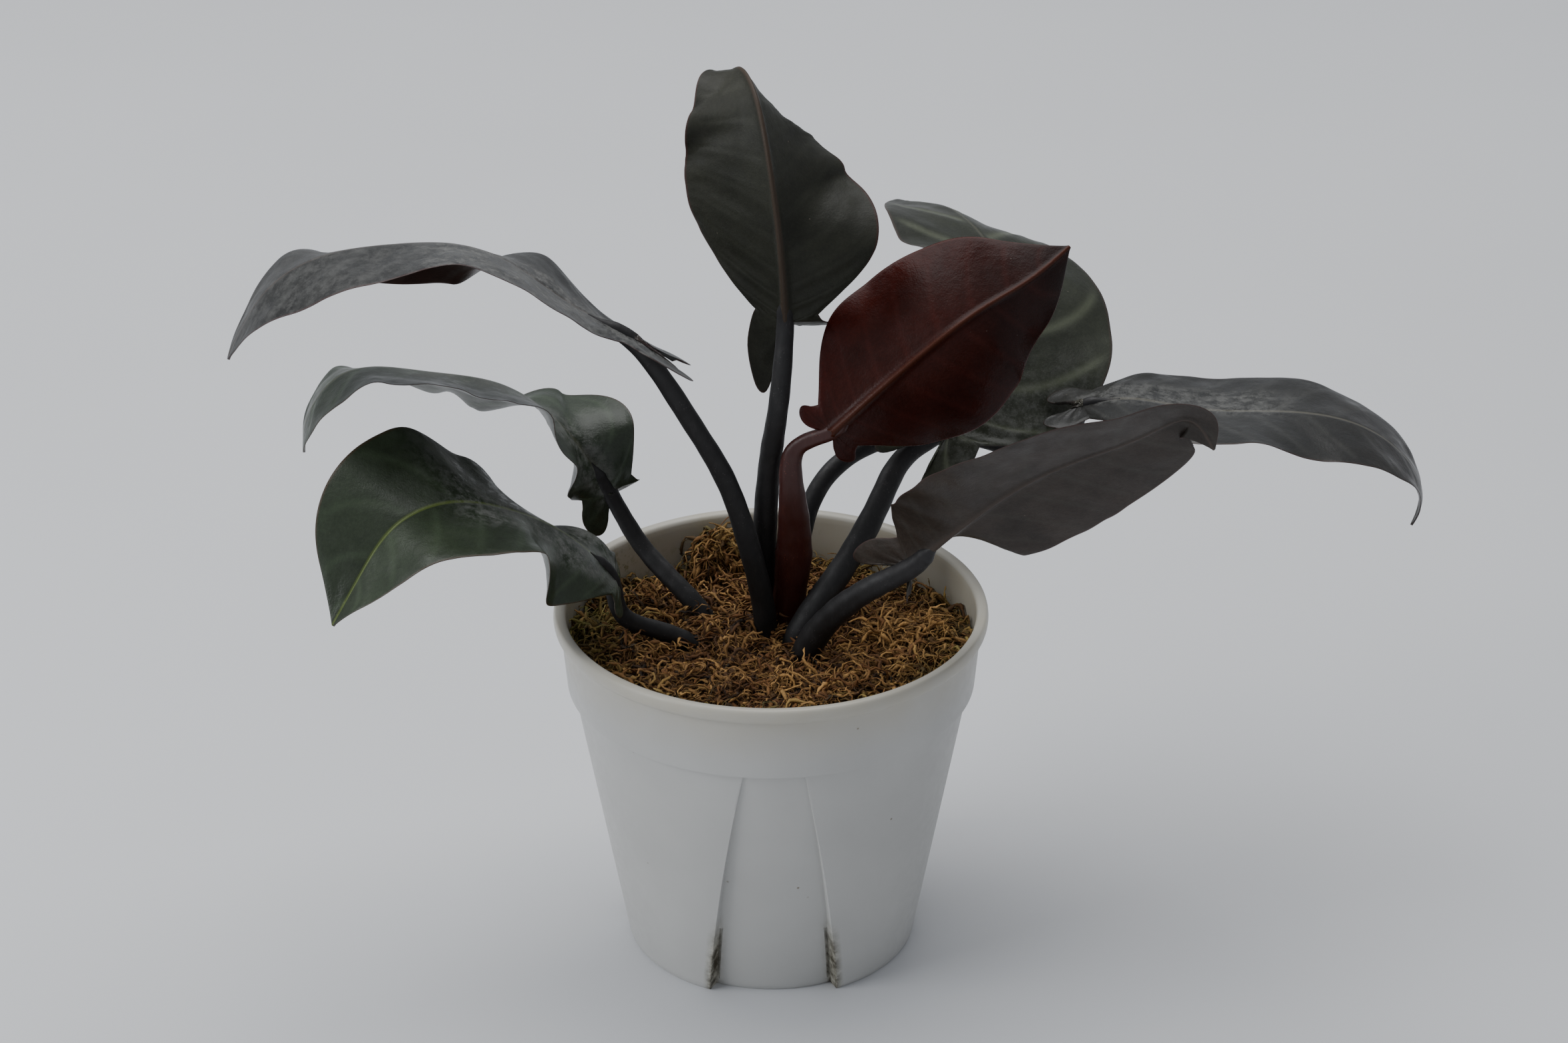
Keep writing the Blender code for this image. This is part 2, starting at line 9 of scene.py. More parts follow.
import bmesh
import bpy
import numpy as np
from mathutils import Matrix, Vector


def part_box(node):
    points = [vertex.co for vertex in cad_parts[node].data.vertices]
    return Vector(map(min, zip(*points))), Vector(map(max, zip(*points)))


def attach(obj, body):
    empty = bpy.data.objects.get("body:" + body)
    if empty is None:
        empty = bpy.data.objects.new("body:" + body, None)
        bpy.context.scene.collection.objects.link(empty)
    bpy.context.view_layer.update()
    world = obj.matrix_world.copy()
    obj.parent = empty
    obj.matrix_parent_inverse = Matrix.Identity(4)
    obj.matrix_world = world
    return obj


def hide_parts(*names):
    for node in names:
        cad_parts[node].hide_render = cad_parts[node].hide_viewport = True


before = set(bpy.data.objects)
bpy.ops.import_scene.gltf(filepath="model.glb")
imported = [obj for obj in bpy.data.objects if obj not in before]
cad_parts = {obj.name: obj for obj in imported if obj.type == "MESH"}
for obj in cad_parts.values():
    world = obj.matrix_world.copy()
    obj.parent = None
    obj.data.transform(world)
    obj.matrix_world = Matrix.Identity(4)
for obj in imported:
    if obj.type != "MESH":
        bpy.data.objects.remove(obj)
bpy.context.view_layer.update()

bl_info = {
    "name": "Potted Philodendron",
    "version": (1, 0, 0),
    "blender": (4, 5, 0),
    "location": "View3D > Sidebar > Plant",
    "description": "Builds a potted philodendron from pot to leaf tips",
    "category": "Add Mesh",
}

MM = 0.001
POT_LOW, POT_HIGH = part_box("pot")
MOSS_LOW, MOSS_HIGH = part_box("moss")
STEM_LOW, STEM_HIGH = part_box("stem")

# Pot: heights and radii that the frame's pot was turned to.
POT_HEIGHT = POT_HIGH.z
POT_RIM_RADIUS = POT_HIGH.x
POT_BEAD_HEIGHT = 0.0052
POT_BEAD_DEPTH = 0.0024
POT_BAND_BOTTOM = 0.1000
POT_BAND_STEP = 0.0020
POT_BODY_TOP_RADIUS = 0.0686
POT_BASE_RADIUS = 0.0506
POT_WALL = 0.0016
POT_FLOOR = 0.0022
WEDGE_COUNT = 3
WEDGE_FIRST_ANGLE = math.radians(-89.0)
WEDGE_TOP_HALF_ANGLE = math.radians(8.5)
WEDGE_BASE_HALF_ANGLE = math.radians(26.0)
WEDGE_TOP_DEPTH = 0.0006
WEDGE_BASE_DEPTH = 0.0048
SLIT_BOTTOM = 0.0040
SLIT_TOP = 0.0260
SLIT_DEPTH = 0.0014
STEP_REACH = 0.0020
BAND_CHAMFER = 0.0007
BEAD_CORNER = 0.0011
BEAD_HALF = 0.0026
RIM_LIP = 0.0016
RIM_WIDTH = 0.0042
INNER_STEPS = 14

# Moss.
MOSS_EDGE_HEIGHT = 0.1130
MOSS_TILT = 0.0040

# Half of the flat blade outline: (along the midrib in leaf lengths, across in half widths).
EAR_OUTLINE = ((0.0, 0.0), (-0.08, 0.10), (-0.17, 0.20), (-0.165, 0.34), (-0.08, 0.40), (0.02, 0.30))
MAIN_OUTLINE = (
    (0.02, 0.30), (0.07, 0.46), (0.15, 0.72), (0.27, 0.93), (0.42, 1.0),
    (0.58, 0.93), (0.74, 0.72), (0.87, 0.42), (0.95, 0.16), (1.0, 0.0),
)
VEIN_SLANT = 0.10
SPLINE_POWER = 0.7

# Each leaf: midrib points from stalk to tip (mm), the upper face's direction at equal steps along it, the half
# width (mm), and the fold and curl angles (degrees) of the left and right halves at equal steps. ear_length is
# how far the ears reach back, as a share of their outline, and ear_droop tilts them (degrees, left and right).
# Each stalk: points from the moss to the blade (mm), and its radius at equal steps along it (mm).
LEAVES = {
    "leaf_left_high": {
        "midrib": (
            (-46, 0, 229), (-68, 0, 242), (-85, 0, 255), (-102, 0, 262), (-124, -2, 263),
            (-146, -4, 260), (-165, -6, 249), (-180, -8, 224),
        ),
        "face": (
            (0.3, 0.1, 0.9), (0.3, 0.2, 0.9), (0, 0.3, 0.95), (-0.1, 0.3, 0.95), (-0.5, 0.3, 0.8),
            (-0.8, 0.2, 0.4),
        ),
        "half_width": 34,
        "fold": ((0, 0, -5, -18, -35, -25), (-10, 10, -5, -5, 18, 28)),
        "curl": ((0, 0, 0, 0, 0, 0), (0, 0, -50, -50, 0, 0)),
        "ear_length": 0.8,
        "ear_droop": (-5, -5),
        "stalk": ((-2, 8, 98), (-2, 7, 118), (-7, 5, 146), (-15, 4, 173), (-27, 2, 197), (-37, 1, 214)),
        "radius": (4.0, 3.9, 3.6, 3.3, 2.8),
    },
    "leaf_left_middle": {
        "midrib": (
            (-56, 30, 157), (-63, 28, 170), (-73, 26, 185), (-91, 24, 200), (-117, 20, 207),
            (-144, 14, 209), (-157, 10, 194), (-159, 10, 181),
        ),
        "face": (
            (0.5, -0.8, 0.3), (0.2, -0.4, 0.9), (-0.1, 0.1, 0.95), (-0.3, 0.3, 0.9),
            (-0.8, 0.2, 0.5), (-0.9, 0, 0.3),
        ),
        "half_width": 34,
        "fold": (
            (-15, 15, 32, 22, 0, -10, -15, -22, -28, -20, -10),
            (45, 30, -28, -46, -34, -20, -8, 2, 12, 8, 5),
        ),
        "curl": ((0, 0, 5, 10, 15, 18, 20, 15, 10, 5, 0), (0, 0)),
        "ear_length": 0.6,
        "ear_droop": (-20, -60),
        "stalk": ((-14, 11, 100), (-23, 15, 115), (-34, 21, 126), (-46, 29, 137), (-55, 35, 150)),
        "radius": (3.6, 3.5, 3.3, 3.0, 2.6),
    },
    "leaf_left_low": {
        "midrib": (
            (-53, -12, 145), (-69, -20, 166), (-88, -28, 179), (-107, -40, 187),
            (-123, -52, 184), (-134, -60, 170), (-143, -66, 155),
        ),
        "face": (
            (-0.1, -0.1, 0.95), (-0.1, -0.1, 0.95), (-0.2, -0.3, 0.9), (-0.5, -0.5, 0.7),
            (-0.6, -0.6, 0.4),
        ),
        "half_width": 36,
        "fold": ((-15, -10, 8, 0, 5, 20), (25, -20, -5, 22, 40, 20)),
        "curl": ((-70, -60, 0, 0, 0, 0), (0, -20, 0, 0, 0, 0)),
        "ear_length": 0.3,
        "ear_droop": (-20, -20),
        "stalk": ((-12, -4, 104), (-22, -6, 113), (-39, -9, 123), (-51, -12, 131), (-54, -12, 139)),
        "radius": (3.3, 3.2, 3.0, 2.6),
    },
    "leaf_upright": {
        "midrib": (
            (5, 8, 231), (4, 4, 252), (2, 3, 272), (-1, 8, 292), (-5, 20, 307), (-10, 36, 310),
            (-15, 50, 301),
        ),
        "face": (
            (0, -0.95, 0.1), (0, -0.95, 0.15), (0.05, -0.93, 0.3), (0.15, -0.85, 0.5),
            (0.3, -0.5, 0.8), (0.4, 0.2, 0.85),
        ),
        "half_width": 37,
        "fold": ((-25, -35, -42, -46, -42, -10), (0, -5, -45, -52, -45, -20)),
        "curl": ((0, 0), (0, 0)),
        "ear_length": 1.5,
        "ear_droop": (0, -50),
        "stalk": ((-3, 20, 98), (-2, 19, 120), (-2, 14, 150), (0, 10, 180), (3, 4, 205), (6, 3, 225)),
        "radius": (4.2, 4.2, 4.1, 3.8, 3.3, 2.8),
    },
    "leaf_red": {
        "midrib": (
            (21, 0, 194), (35, 2, 207), (53, 6, 222), (71, 12, 234), (87, 20, 241), (101, 30, 249),
        ),
        "face": ((-0.3, -0.8, 0.5), (-0.3, -0.8, 0.5), (-0.3, -0.8, 0.5)),
        "half_width": 34,
        "fold": ((10, 5, 0, 0, 0, 0), (-40, -30, -20, -25, -40, -50)),
        "curl": ((0, 0, -20, -20, -10, -10), (-20, -30, -30, -30, -30, -30)),
        "ear_length": 0.3,
        "ear_droop": (0, 0),
        "stalk": ((5, 15, 98), (6, 13, 120), (8, 9, 146), (7, 4, 172), (9, 4, 186), (17, 6, 190)),
        "radius": (4.4, 5.6, 6.4, 4.6, 3.0, 2.4),
    },
    "leaf_back": {
        "midrib": (
            (62, 35, 179), (77, 44, 193), (82, 54, 206), (82, 68, 219), (74, 86, 229),
            (62, 108, 231), (50, 130, 222),
        ),
        "face": (
            (0, -0.8, 0.6), (0.1, -0.7, 0.7), (0.35, -0.55, 0.75), (0.4, -0.35, 0.8), (0.3, 0, 0.9),
            (0.2, 0.4, 0.9),
        ),
        "half_width": 42,
        "fold": ((10, 15, 30, 5, -5, 0), (10, -10, -8, -12, -15, -5)),
        "curl": ((0, 0), (0, 0)),
        "ear_length": 1.0,
        "ear_droop": (0, 0),
        "stalk": (
            (7, 0, 98), (9, 0, 114), (16, 4, 126), (26, 12, 138), (38, 23, 157), (47, 33, 169),
            (58, 38, 174),
        ),
        "radius": (4.8, 4.8, 4.5, 4.2, 3.6, 2.8),
    },
    "leaf_right_far": {
        "midrib": (
            (107, 30, 190), (123, 28, 193), (146, 26, 190), (169, 24, 190), (191, 22, 189),
            (212, 20, 180), (224, 18, 162), (221, 16, 150),
        ),
        "face": ((0, -0.1, 0.95), (0, -0.1, 0.95), (0.1, -0.1, 0.95), (0.4, -0.1, 0.8), (0.9, 0, 0.4)),
        "half_width": 34,
        "fold": ((-5, -10, -10, -10, -8, 0), (0, 10, 12, 2, 2, 0)),
        "curl": ((0, 0), (0, 0)),
        "ear_length": 0.5,
        "ear_droop": (0, 0),
        "stalk": (
            (9, 26, 98), (9, 27, 125), (13, 32, 148), (22, 41, 160), (48, 54, 167), (80, 50, 165),
            (101, 36, 168), (107, 29, 182),
        ),
        "radius": (3.4, 3.4, 3.3, 3.0, 2.6),
    },
    "leaf_right_front": {
        "midrib": (
            (47, -30, 159), (62, -38, 177), (79, -46, 195), (99, -54, 210),
            (120, -60, 222), (134, -64, 229), (142, -66, 219),
        ),
        "face": (
            (-0.3, 0.75, 0.6), (-0.3, 0.75, 0.6), (-0.3, 0.75, 0.6), (-0.2, 0.7, 0.6),
            (0.1, 0.6, 0.6),
        ),
        "half_width": 34,
        "fold": (
            (70, 30, -20, -20, -22, -20, -18, -19, -20, -20, -20),
            (60, 35, 15, 8, 5, 2, 0, 0, 0, 0, 0),
        ),
        "curl": ((0, 0), (0, 0)),
        "ear_length": 0.8,
        "ear_droop": (-60, 15),
        "stalk": ((10, -11, 98), (12, -13, 116), (23, -21, 137), (36, -27, 150), (44, -30, 155)),
        "radius": (5.2, 5.0, 4.4, 3.8, 3.0),
    },
}


# ---------------------------------------------------------------- curves and grids


def spline(points, places):
    """Points at places (0 to 1) on the natural cubic spline through points.

    Its knots are spaced by chord length to SPLINE_POWER.
    """
    points = np.asarray(points, float)
    steps = np.linalg.norm(np.diff(points, axis=0), axis=1) ** SPLINE_POWER
    knots = np.concatenate([[0.0], np.cumsum(steps)])
    knots /= knots[-1]
    gaps = np.diff(knots)
    count = len(points)
    system = np.eye(count)
    right = np.zeros_like(points)
    for i in range(1, count - 1):
        system[i, i - 1 : i + 2] = gaps[i - 1], 2 * (gaps[i - 1] + gaps[i]), gaps[i]
        right[i] = 6 * ((points[i + 1] - points[i]) / gaps[i] - (points[i] - points[i - 1]) / gaps[i - 1])
    bend = np.linalg.solve(system, right)
    places = np.clip(np.atleast_1d(places), 0.0, 1.0)
    span = np.clip(np.searchsorted(knots, places, side="right") - 1, 0, count - 2)
    gap = gaps[span][:, None]
    past = (places - knots[span])[:, None]
    left = (knots[span + 1] - places)[:, None]
    return (
        (bend[span] * left**3 + bend[span + 1] * past**3) / (6 * gap)
        + (points[span] / gap - bend[span] * gap / 6) * left
        + (points[span + 1] / gap - bend[span + 1] * gap / 6) * past
    )


def blend(values, places):
    """Values given at equal steps from 0 to 1, read at places with 3t^2 - 2t^3 between neighbours."""
    values = np.asarray(values, float)
    position = np.clip(places, 0.0, 1.0) * (len(values) - 1)
    low = np.minimum(position.astype(int), len(values) - 2)
    part = position - low
    part = part * part * (3 - 2 * part)
    if values.ndim > 1:
        part = part[..., None]
    return values[low] * (1 - part) + values[low + 1] * part


def smooth_step(low, high, values):
    """0 below low, 1 above high and 3t^2 - 2t^3 between; low may be the larger."""
    part = np.clip((values - low) / (high - low), 0.0, 1.0)
    return part * part * (3 - 2 * part)


def unit(vectors):
    """Each vector divided by its length."""
    return vectors / np.maximum(np.linalg.norm(vectors, axis=-1, keepdims=True), 1e-12)


WAVE_PEAK = 1.7  # Usual height of three unit sines added together.


def waves(points, scale, seed, octaves=4):
    """Smooth noise from -1 to 1: a sum of sines along seeded directions.

    Each octave is twice as fine and half as high as the one before.
    """
    rng = np.random.default_rng(seed)
    total = np.zeros(points.shape[:-1])
    size = 0.0
    for octave in range(octaves):
        strength = 0.5**octave
        for _ in range(3):
            direction = unit(rng.normal(size=points.shape[-1])) * (2**octave / scale)
            total += strength * np.sin(points @ direction * 2 * math.pi + rng.uniform(0, 2 * math.pi))
        size += WAVE_PEAK * strength
    return total / size


def ring_faces(rows, columns):
    """Quads of a grid whose columns close on themselves, with rows stacked along the shape."""
    row = np.arange(rows - 1)[:, None] * columns
    column = np.arange(columns)[None, :]
    following = (column + 1) % columns
    corners = np.stack([row + column, row + following, row + columns + following, row + columns + column], -1)
    return corners.reshape(-1, 4)


def make_mesh(name, points, quads, ends=(), attributes=None, uv=None):
    """One mesh object from arrays. ends are closed loops of vertex numbers that become faces."""
    mesh = bpy.data.meshes.new(name)
    points = np.asarray(points, np.float32)
    quads = np.asarray(quads, np.int32)
    loops = np.concatenate([quads.ravel()] + [np.asarray(end, np.int32) for end in ends])
    sizes = np.concatenate([np.full(len(quads), 4), [len(end) for end in ends]]).astype(np.int32)
    mesh.vertices.add(len(points))
    mesh.vertices.foreach_set("co", points.ravel())
    mesh.loops.add(len(loops))
    mesh.loops.foreach_set("vertex_index", loops)
    mesh.polygons.add(len(sizes))
    mesh.polygons.foreach_set("loop_start", np.concatenate([[0], np.cumsum(sizes)[:-1]]).astype(np.int32))
    mesh.update(calc_edges=True)
    for key, values in (attributes or {}).items():
        layer = mesh.attributes.new(key, "FLOAT", "POINT")
        layer.data.foreach_set("value", np.asarray(values, np.float32).ravel())
    if uv is not None:
        layer = mesh.uv_layers.new(name="surface")
        layer.data.foreach_set("uv", np.asarray(uv, np.float32)[loops].ravel())
    mesh.validate()
    mesh.shade_smooth()
    obj = bpy.data.objects.new(name, mesh)
    bpy.context.scene.collection.objects.link(obj)
    return obj


def make_tube(name, grid, attributes=None, uv=None):
    """A closed mesh from a grid of rings, with one face over the first ring and one over the last."""
    rows, columns = grid.shape[:2]
    ends = [np.arange(columns)[::-1], np.arange((rows - 1) * columns, rows * columns)]
    return join_doubles(make_mesh(name, grid.reshape(-1, 3), ring_faces(rows, columns), ends, attributes, uv))


def join_doubles(obj, distance=2e-6):
    """Joins coincident points, drops faces with no area and turns every face outward."""
    shape = bmesh.new()
    shape.from_mesh(obj.data)
    bmesh.ops.remove_doubles(shape, verts=shape.verts, dist=distance)
    bmesh.ops.dissolve_degenerate(shape, edges=shape.edges, dist=distance)
    bmesh.ops.recalc_face_normals(shape, faces=shape.faces)
    shape.to_mesh(obj.data)
    shape.free()
    return obj


def finish_piece(obj, surface, node, stands_for_node=True):
    """Gives a piece its material, ties it to the frame, and hides the frame's node that it stands for, if it does.
    """
    obj.data.materials.append(surface)
    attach(obj, "root")
    if stands_for_node:
        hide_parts(node)


CHANNEL_WIDTH = 0.45  # Spread of a stalk's groove, in radians round the stalk.


def tube_grid(line, radii, sides, upward, squeeze=1.0, channel=0.0):
    """A profile carried along a path: at each point, a ring of radius r in the plane across the path.

    squeeze scales the ring along the path's own up direction, and channel presses a groove into its upper side
    as a Gaussian of the turn round the ring.
    """
    heading = unit(np.gradient(line, axis=0))
    across = np.cross(heading, np.broadcast_to(np.asarray(upward, float), heading.shape))
    across = unit(across)
    up = np.cross(across, heading)
    turn = np.linspace(0, 2 * np.pi, sides, endpoint=False)
    squeeze = np.broadcast_to(squeeze, len(line))
    channel = np.broadcast_to(channel, len(line))
    groove = 1 - channel[:, None] * np.exp(-(((turn[None, :] - np.pi / 2) / CHANNEL_WIDTH) ** 2))
    reach = np.asarray(radii)[:, None] * groove
    return (
        line[:, None, :]
        + (reach * np.cos(turn))[..., None] * across[:, None, :]
        + (reach * np.sin(turn) * squeeze[:, None])[..., None] * up[:, None, :]
    )


# ---------------------------------------------------------------- shader helpers


class Nodes:
    """Short calls for building one material's node tree."""

    def __init__(self, name):
        self.material = bpy.data.materials.new(name)
        self.material.use_nodes = True
        self.tree = self.material.node_tree
        self.shader = self.tree.nodes["Principled BSDF"]

    def add(self, kind, **settings):
        node = self.tree.nodes.new(kind)
        for key, value in settings.items():
            setattr(node, key, value)
        return node

    def link(self, output, socket):
        self.tree.links.new(output, socket)

    def put(self, socket, value):
        if isinstance(value, bpy.types.NodeSocket):
            self.link(value, socket)
        else:
            socket.default_value = value

    def place(self):
        return self.add("ShaderNodeTexCoord").outputs["Object"]

    def attribute(self, name):
        return self.add("ShaderNodeAttribute", attribute_name=name).outputs["Fac"]

    def noise(self, vector, scale, detail=4.0, rough=0.55):
        node = self.add("ShaderNodeTexNoise")
        self.link(vector, node.inputs["Vector"])
        node.inputs["Scale"].default_value = scale
        node.inputs["Detail"].default_value = detail
        node.inputs["Roughness"].default_value = rough
        return node.outputs["Fac"]

    def cells(self, vector, scale):
        node = self.add("ShaderNodeTexVoronoi")
        self.link(vector, node.inputs["Vector"])
        node.inputs["Scale"].default_value = scale
        return node.outputs["Distance"]

    def ramp(self, value, *stops):
        """A colour ramp: stops are (place, colour or grey)."""
        node = self.add("ShaderNodeValToRGB")
        self.link(value, node.inputs["Fac"])
        points = node.color_ramp.elements
        while len(points) < len(stops):
            points.new(0.5)
        for point, (place, colour) in zip(points, stops):
            point.position = place
            point.color = (colour, colour, colour, 1) if isinstance(colour, (int, float)) else (*colour, 1)
        return node.outputs["Color"]

    def math(self, operation, first, second, clamp=False):
        node = self.add("ShaderNodeMath", operation=operation, use_clamp=clamp)
        self.put(node.inputs[0], first)
        self.put(node.inputs[1], second)
        return node.outputs[0]

    def mix(self, share, first, second, kind="MIX"):
        node = self.add("ShaderNodeMix", data_type="RGBA", blend_type=kind)
        for socket, value in zip((node.inputs[0], node.inputs[6], node.inputs[7]), (share, first, second)):
            if isinstance(value, tuple) and len(value) == 3:
                value = (*value, 1.0)
            self.put(socket, value)
        return node.outputs[2]

    def separate(self, vector):
        node = self.add("ShaderNodeSeparateXYZ")
        self.link(vector, node.inputs[0])
        return node.outputs

    def stretch(self, vector, scale):
        node = self.add("ShaderNodeMapping")
        self.link(vector, node.inputs["Vector"])
        node.inputs["Scale"].default_value = scale
        return node.outputs[0]

    def bump(self, height, strength, distance, normal=None):
        node = self.add("ShaderNodeBump")
        self.link(height, node.inputs["Height"])
        node.inputs["Strength"].default_value = strength
        node.inputs["Distance"].default_value = distance
        if normal is not None:
            self.link(normal, node.inputs["Normal"])
        return node.outputs["Normal"]

    def finish(self, colour, roughness, normal=None, shine=None):
        """Fills the shader in; shine is the strength of its highlight."""
        self.put(self.shader.inputs["Base Color"], colour)
        self.put(self.shader.inputs["Roughness"], roughness)
        if normal is not None:
            self.link(normal, self.shader.inputs["Normal"])
        if shine is not None:
            self.shader.inputs["Specular IOR Level"].default_value = shine
        return self.material


# ---------------------------------------------------------------- pot


def wedge_share(height):
    """0 at the underside and 1 at the band's lower edge."""
    return np.clip(height / POT_BAND_BOTTOM, 0, 1)


WEDGE, RIGHT_STEP, PANEL, LEFT_STEP = range(4)


def pot_columns():
    """The wall's columns, and how many make one third of it.

    Each is (place in the wedge or panel, kind, metres past the edge, share of the wedge's depth, share of the
    slit's depth). WEDGE and PANEL run between two edges; RIGHT_STEP and LEFT_STEP stand at an edge.
    """
    step = ((-0.0016, 1, 0), (-0.0013, 1, 1), (-0.0003, 1, 1), (-0.0001, 1, 0), (0.0, 0.97, 0),
            (0.0, 0.5, 0), (0.00003, 0.06, 0), (0.00012, 0, 0), (0.0008, 0, 0))
    columns = [(f, WEDGE, 0.0, 1.0, 0.0) for f in np.linspace(-1, 1, 23)[1:-1]]
    columns += [(0.0, RIGHT_STEP, past, depth, slit) for past, depth, slit in step]
    columns += [(f, PANEL, 0.0, 0.0, 0.0) for f in np.linspace(0, 1, 62)[1:-1]]
    columns += [(0.0, LEFT_STEP, past, depth, slit) for past, depth, slit in reversed(step)]
    return np.array(columns * WEDGE_COUNT), len(columns)


def wall_points(heights, inset, extra):
    """Wall levels: radius R(z) - inset, less the wedge's depth inside a wedge, whose half angle widens downwards."""
    columns, third = pot_columns()
    share = wedge_share(heights)[:, None]
    outer = POT_BASE_RADIUS + (POT_BODY_TOP_RADIUS - POT_BASE_RADIUS) * share - inset + extra[:, None]
    depth = WEDGE_BASE_DEPTH + (WEDGE_TOP_DEPTH - WEDGE_BASE_DEPTH) * share
    depth = depth * (heights[:, None] <= POT_BAND_BOTTOM)
    half = WEDGE_BASE_HALF_ANGLE + (WEDGE_TOP_HALF_ANGLE - WEDGE_BASE_HALF_ANGLE) * share + inset / outer
    pitch = 2 * math.pi / WEDGE_COUNT
    centre = WEDGE_FIRST_ANGLE + (np.arange(len(columns)) // third) * pitch
    place, kind, past, share_in, slit = columns.T
    edge_gap = STEP_REACH / outer
    angle = np.where(kind == WEDGE, centre + place * (half - edge_gap), 0.0)
    angle = np.where(kind == RIGHT_STEP, centre + half + past / outer, angle)
    low = centre + half + edge_gap
    high = centre + pitch - half - edge_gap
    angle = np.where(kind == PANEL, low + (high - low) * place, angle)
    angle = np.where(kind == LEFT_STEP, centre + pitch - half - past / outer, angle)
    open_slit = smooth_step(SLIT_BOTTOM - 0.001, SLIT_BOTTOM, heights)
    open_slit = open_slit * smooth_step(SLIT_TOP + 0.002, SLIT_TOP, heights)
    radius = outer - depth * share_in - SLIT_DEPTH * slit * open_slit[:, None]
    level = np.broadcast_to(heights[:, None], radius.shape)
    ring = np.stack([radius * np.cos(angle), radius * np.sin(angle), level], -1)
    near_step = np.clip(1 - np.abs(past) / STEP_REACH, 0, 1) * np.isin(kind, (RIGHT_STEP, LEFT_STEP))
    return ring, np.broadcast_to(near_step, radius.shape)


def make_pot():
    """The pot as one closed turned surface: underside, wedge-cut wall, band, bead, rim, inner wall and floor."""
    band_radius = POT_BODY_TOP_RADIUS + POT_BAND_STEP
    neck_radius = POT_RIM_RADIUS - POT_BEAD_DEPTH
    bead_bottom = POT_HEIGHT - POT_BEAD_HEIGHT
    wall_heights = np.linspace(0.003, POT_BAND_BOTTOM - 0.0004, 64)
    wall_heights = np.concatenate([[0.0, 0.0002, 0.0006, 0.0012], wall_heights])
    foot = -0.0006 * smooth_step(0.0012, 0.0, wall_heights)
    outer, outer_step = wall_points(wall_heights, 0.0, foot)
    top = outer[-1] / np.linalg.norm(outer[-1][:, :2], axis=1)[:, None]
    band_low = POT_BAND_BOTTOM + BAND_CHAMFER
    band_high = bead_bottom - 0.0008
    profile = [
        (POT_BODY_TOP_RADIUS, POT_BAND_BOTTOM), (band_radius - 0.0005, POT_BAND_BOTTOM + 0.0001),
        (band_radius - 0.0001, POT_BAND_BOTTOM + 0.0003), (band_radius, band_low),
    ]
    profile += [(band_radius + (neck_radius - band_radius) * f, band_low + (band_high - band_low) * f)
                for f in np.linspace(0, 1, 10)[1:]]
    profile += [(neck_radius + 0.0003, bead_bottom - 0.0003)]
    bead_centre = POT_HEIGHT - POT_BEAD_HEIGHT / 2
    profile += [(POT_RIM_RADIUS + BEAD_CORNER * (math.cos(a) - 1), bead_centre + BEAD_HALF * math.sin(a))
                for a in np.linspace(-math.pi / 2, math.pi / 2, 9)]
    inner_top = POT_RIM_RADIUS - RIM_WIDTH
    inner_low = band_radius - POT_WALL
    lip = POT_HEIGHT - RIM_LIP
    profile += [(POT_RIM_RADIUS - 0.0020, POT_HEIGHT), (POT_RIM_RADIUS - 0.0030, POT_HEIGHT - 0.0001),
                (POT_RIM_RADIUS - 0.0038, POT_HEIGHT - 0.0006), (inner_top, lip)]
    profile += [(inner_top + (inner_low - inner_top) * f, lip + (POT_BAND_BOTTOM - lip) * f)
                for f in np.linspace(0, 1, INNER_STEPS)[1:]]
    profile = np.array(profile)
    turned = np.stack([profile[:, :1] * top[:, 0], profile[:, :1] * top[:, 1],
                       np.broadcast_to(profile[:, 1:], (len(profile), len(top)))], -1)
    inner_heights = np.array([POT_BAND_BOTTOM - 0.0015, 0.09, 0.06, 0.03, POT_FLOOR])
    inner, _ = wall_points(inner_heights, POT_WALL, np.zeros(len(inner_heights)))
    under = outer[:1] * np.array([0.03, 0.5, 0.9])[:, None, None]
    floor = inner[-1:] * np.array([0.5, 0.03])[:, None, None]
    floor[..., 2] = POT_FLOOR
    under[..., 2] = 0.0
    grid = np.concatenate([under, outer, turned, inner, floor])
    step = np.zeros(grid.shape[:2])
    step[len(under) : len(under) + len(outer)] = outer_step
    inside = np.zeros(grid.shape[:2])
    inside[len(under) + len(outer) + len(profile) - INNER_STEPS :] = 1.0
    dirt = step * smooth_step(0.036, 0.014, grid[..., 2])
    obj = make_tube("pot_shell", grid, {"dirt": dirt, "inside": inside})
    obj.data.set_sharp_from_angle(angle=math.radians(38))
    return obj


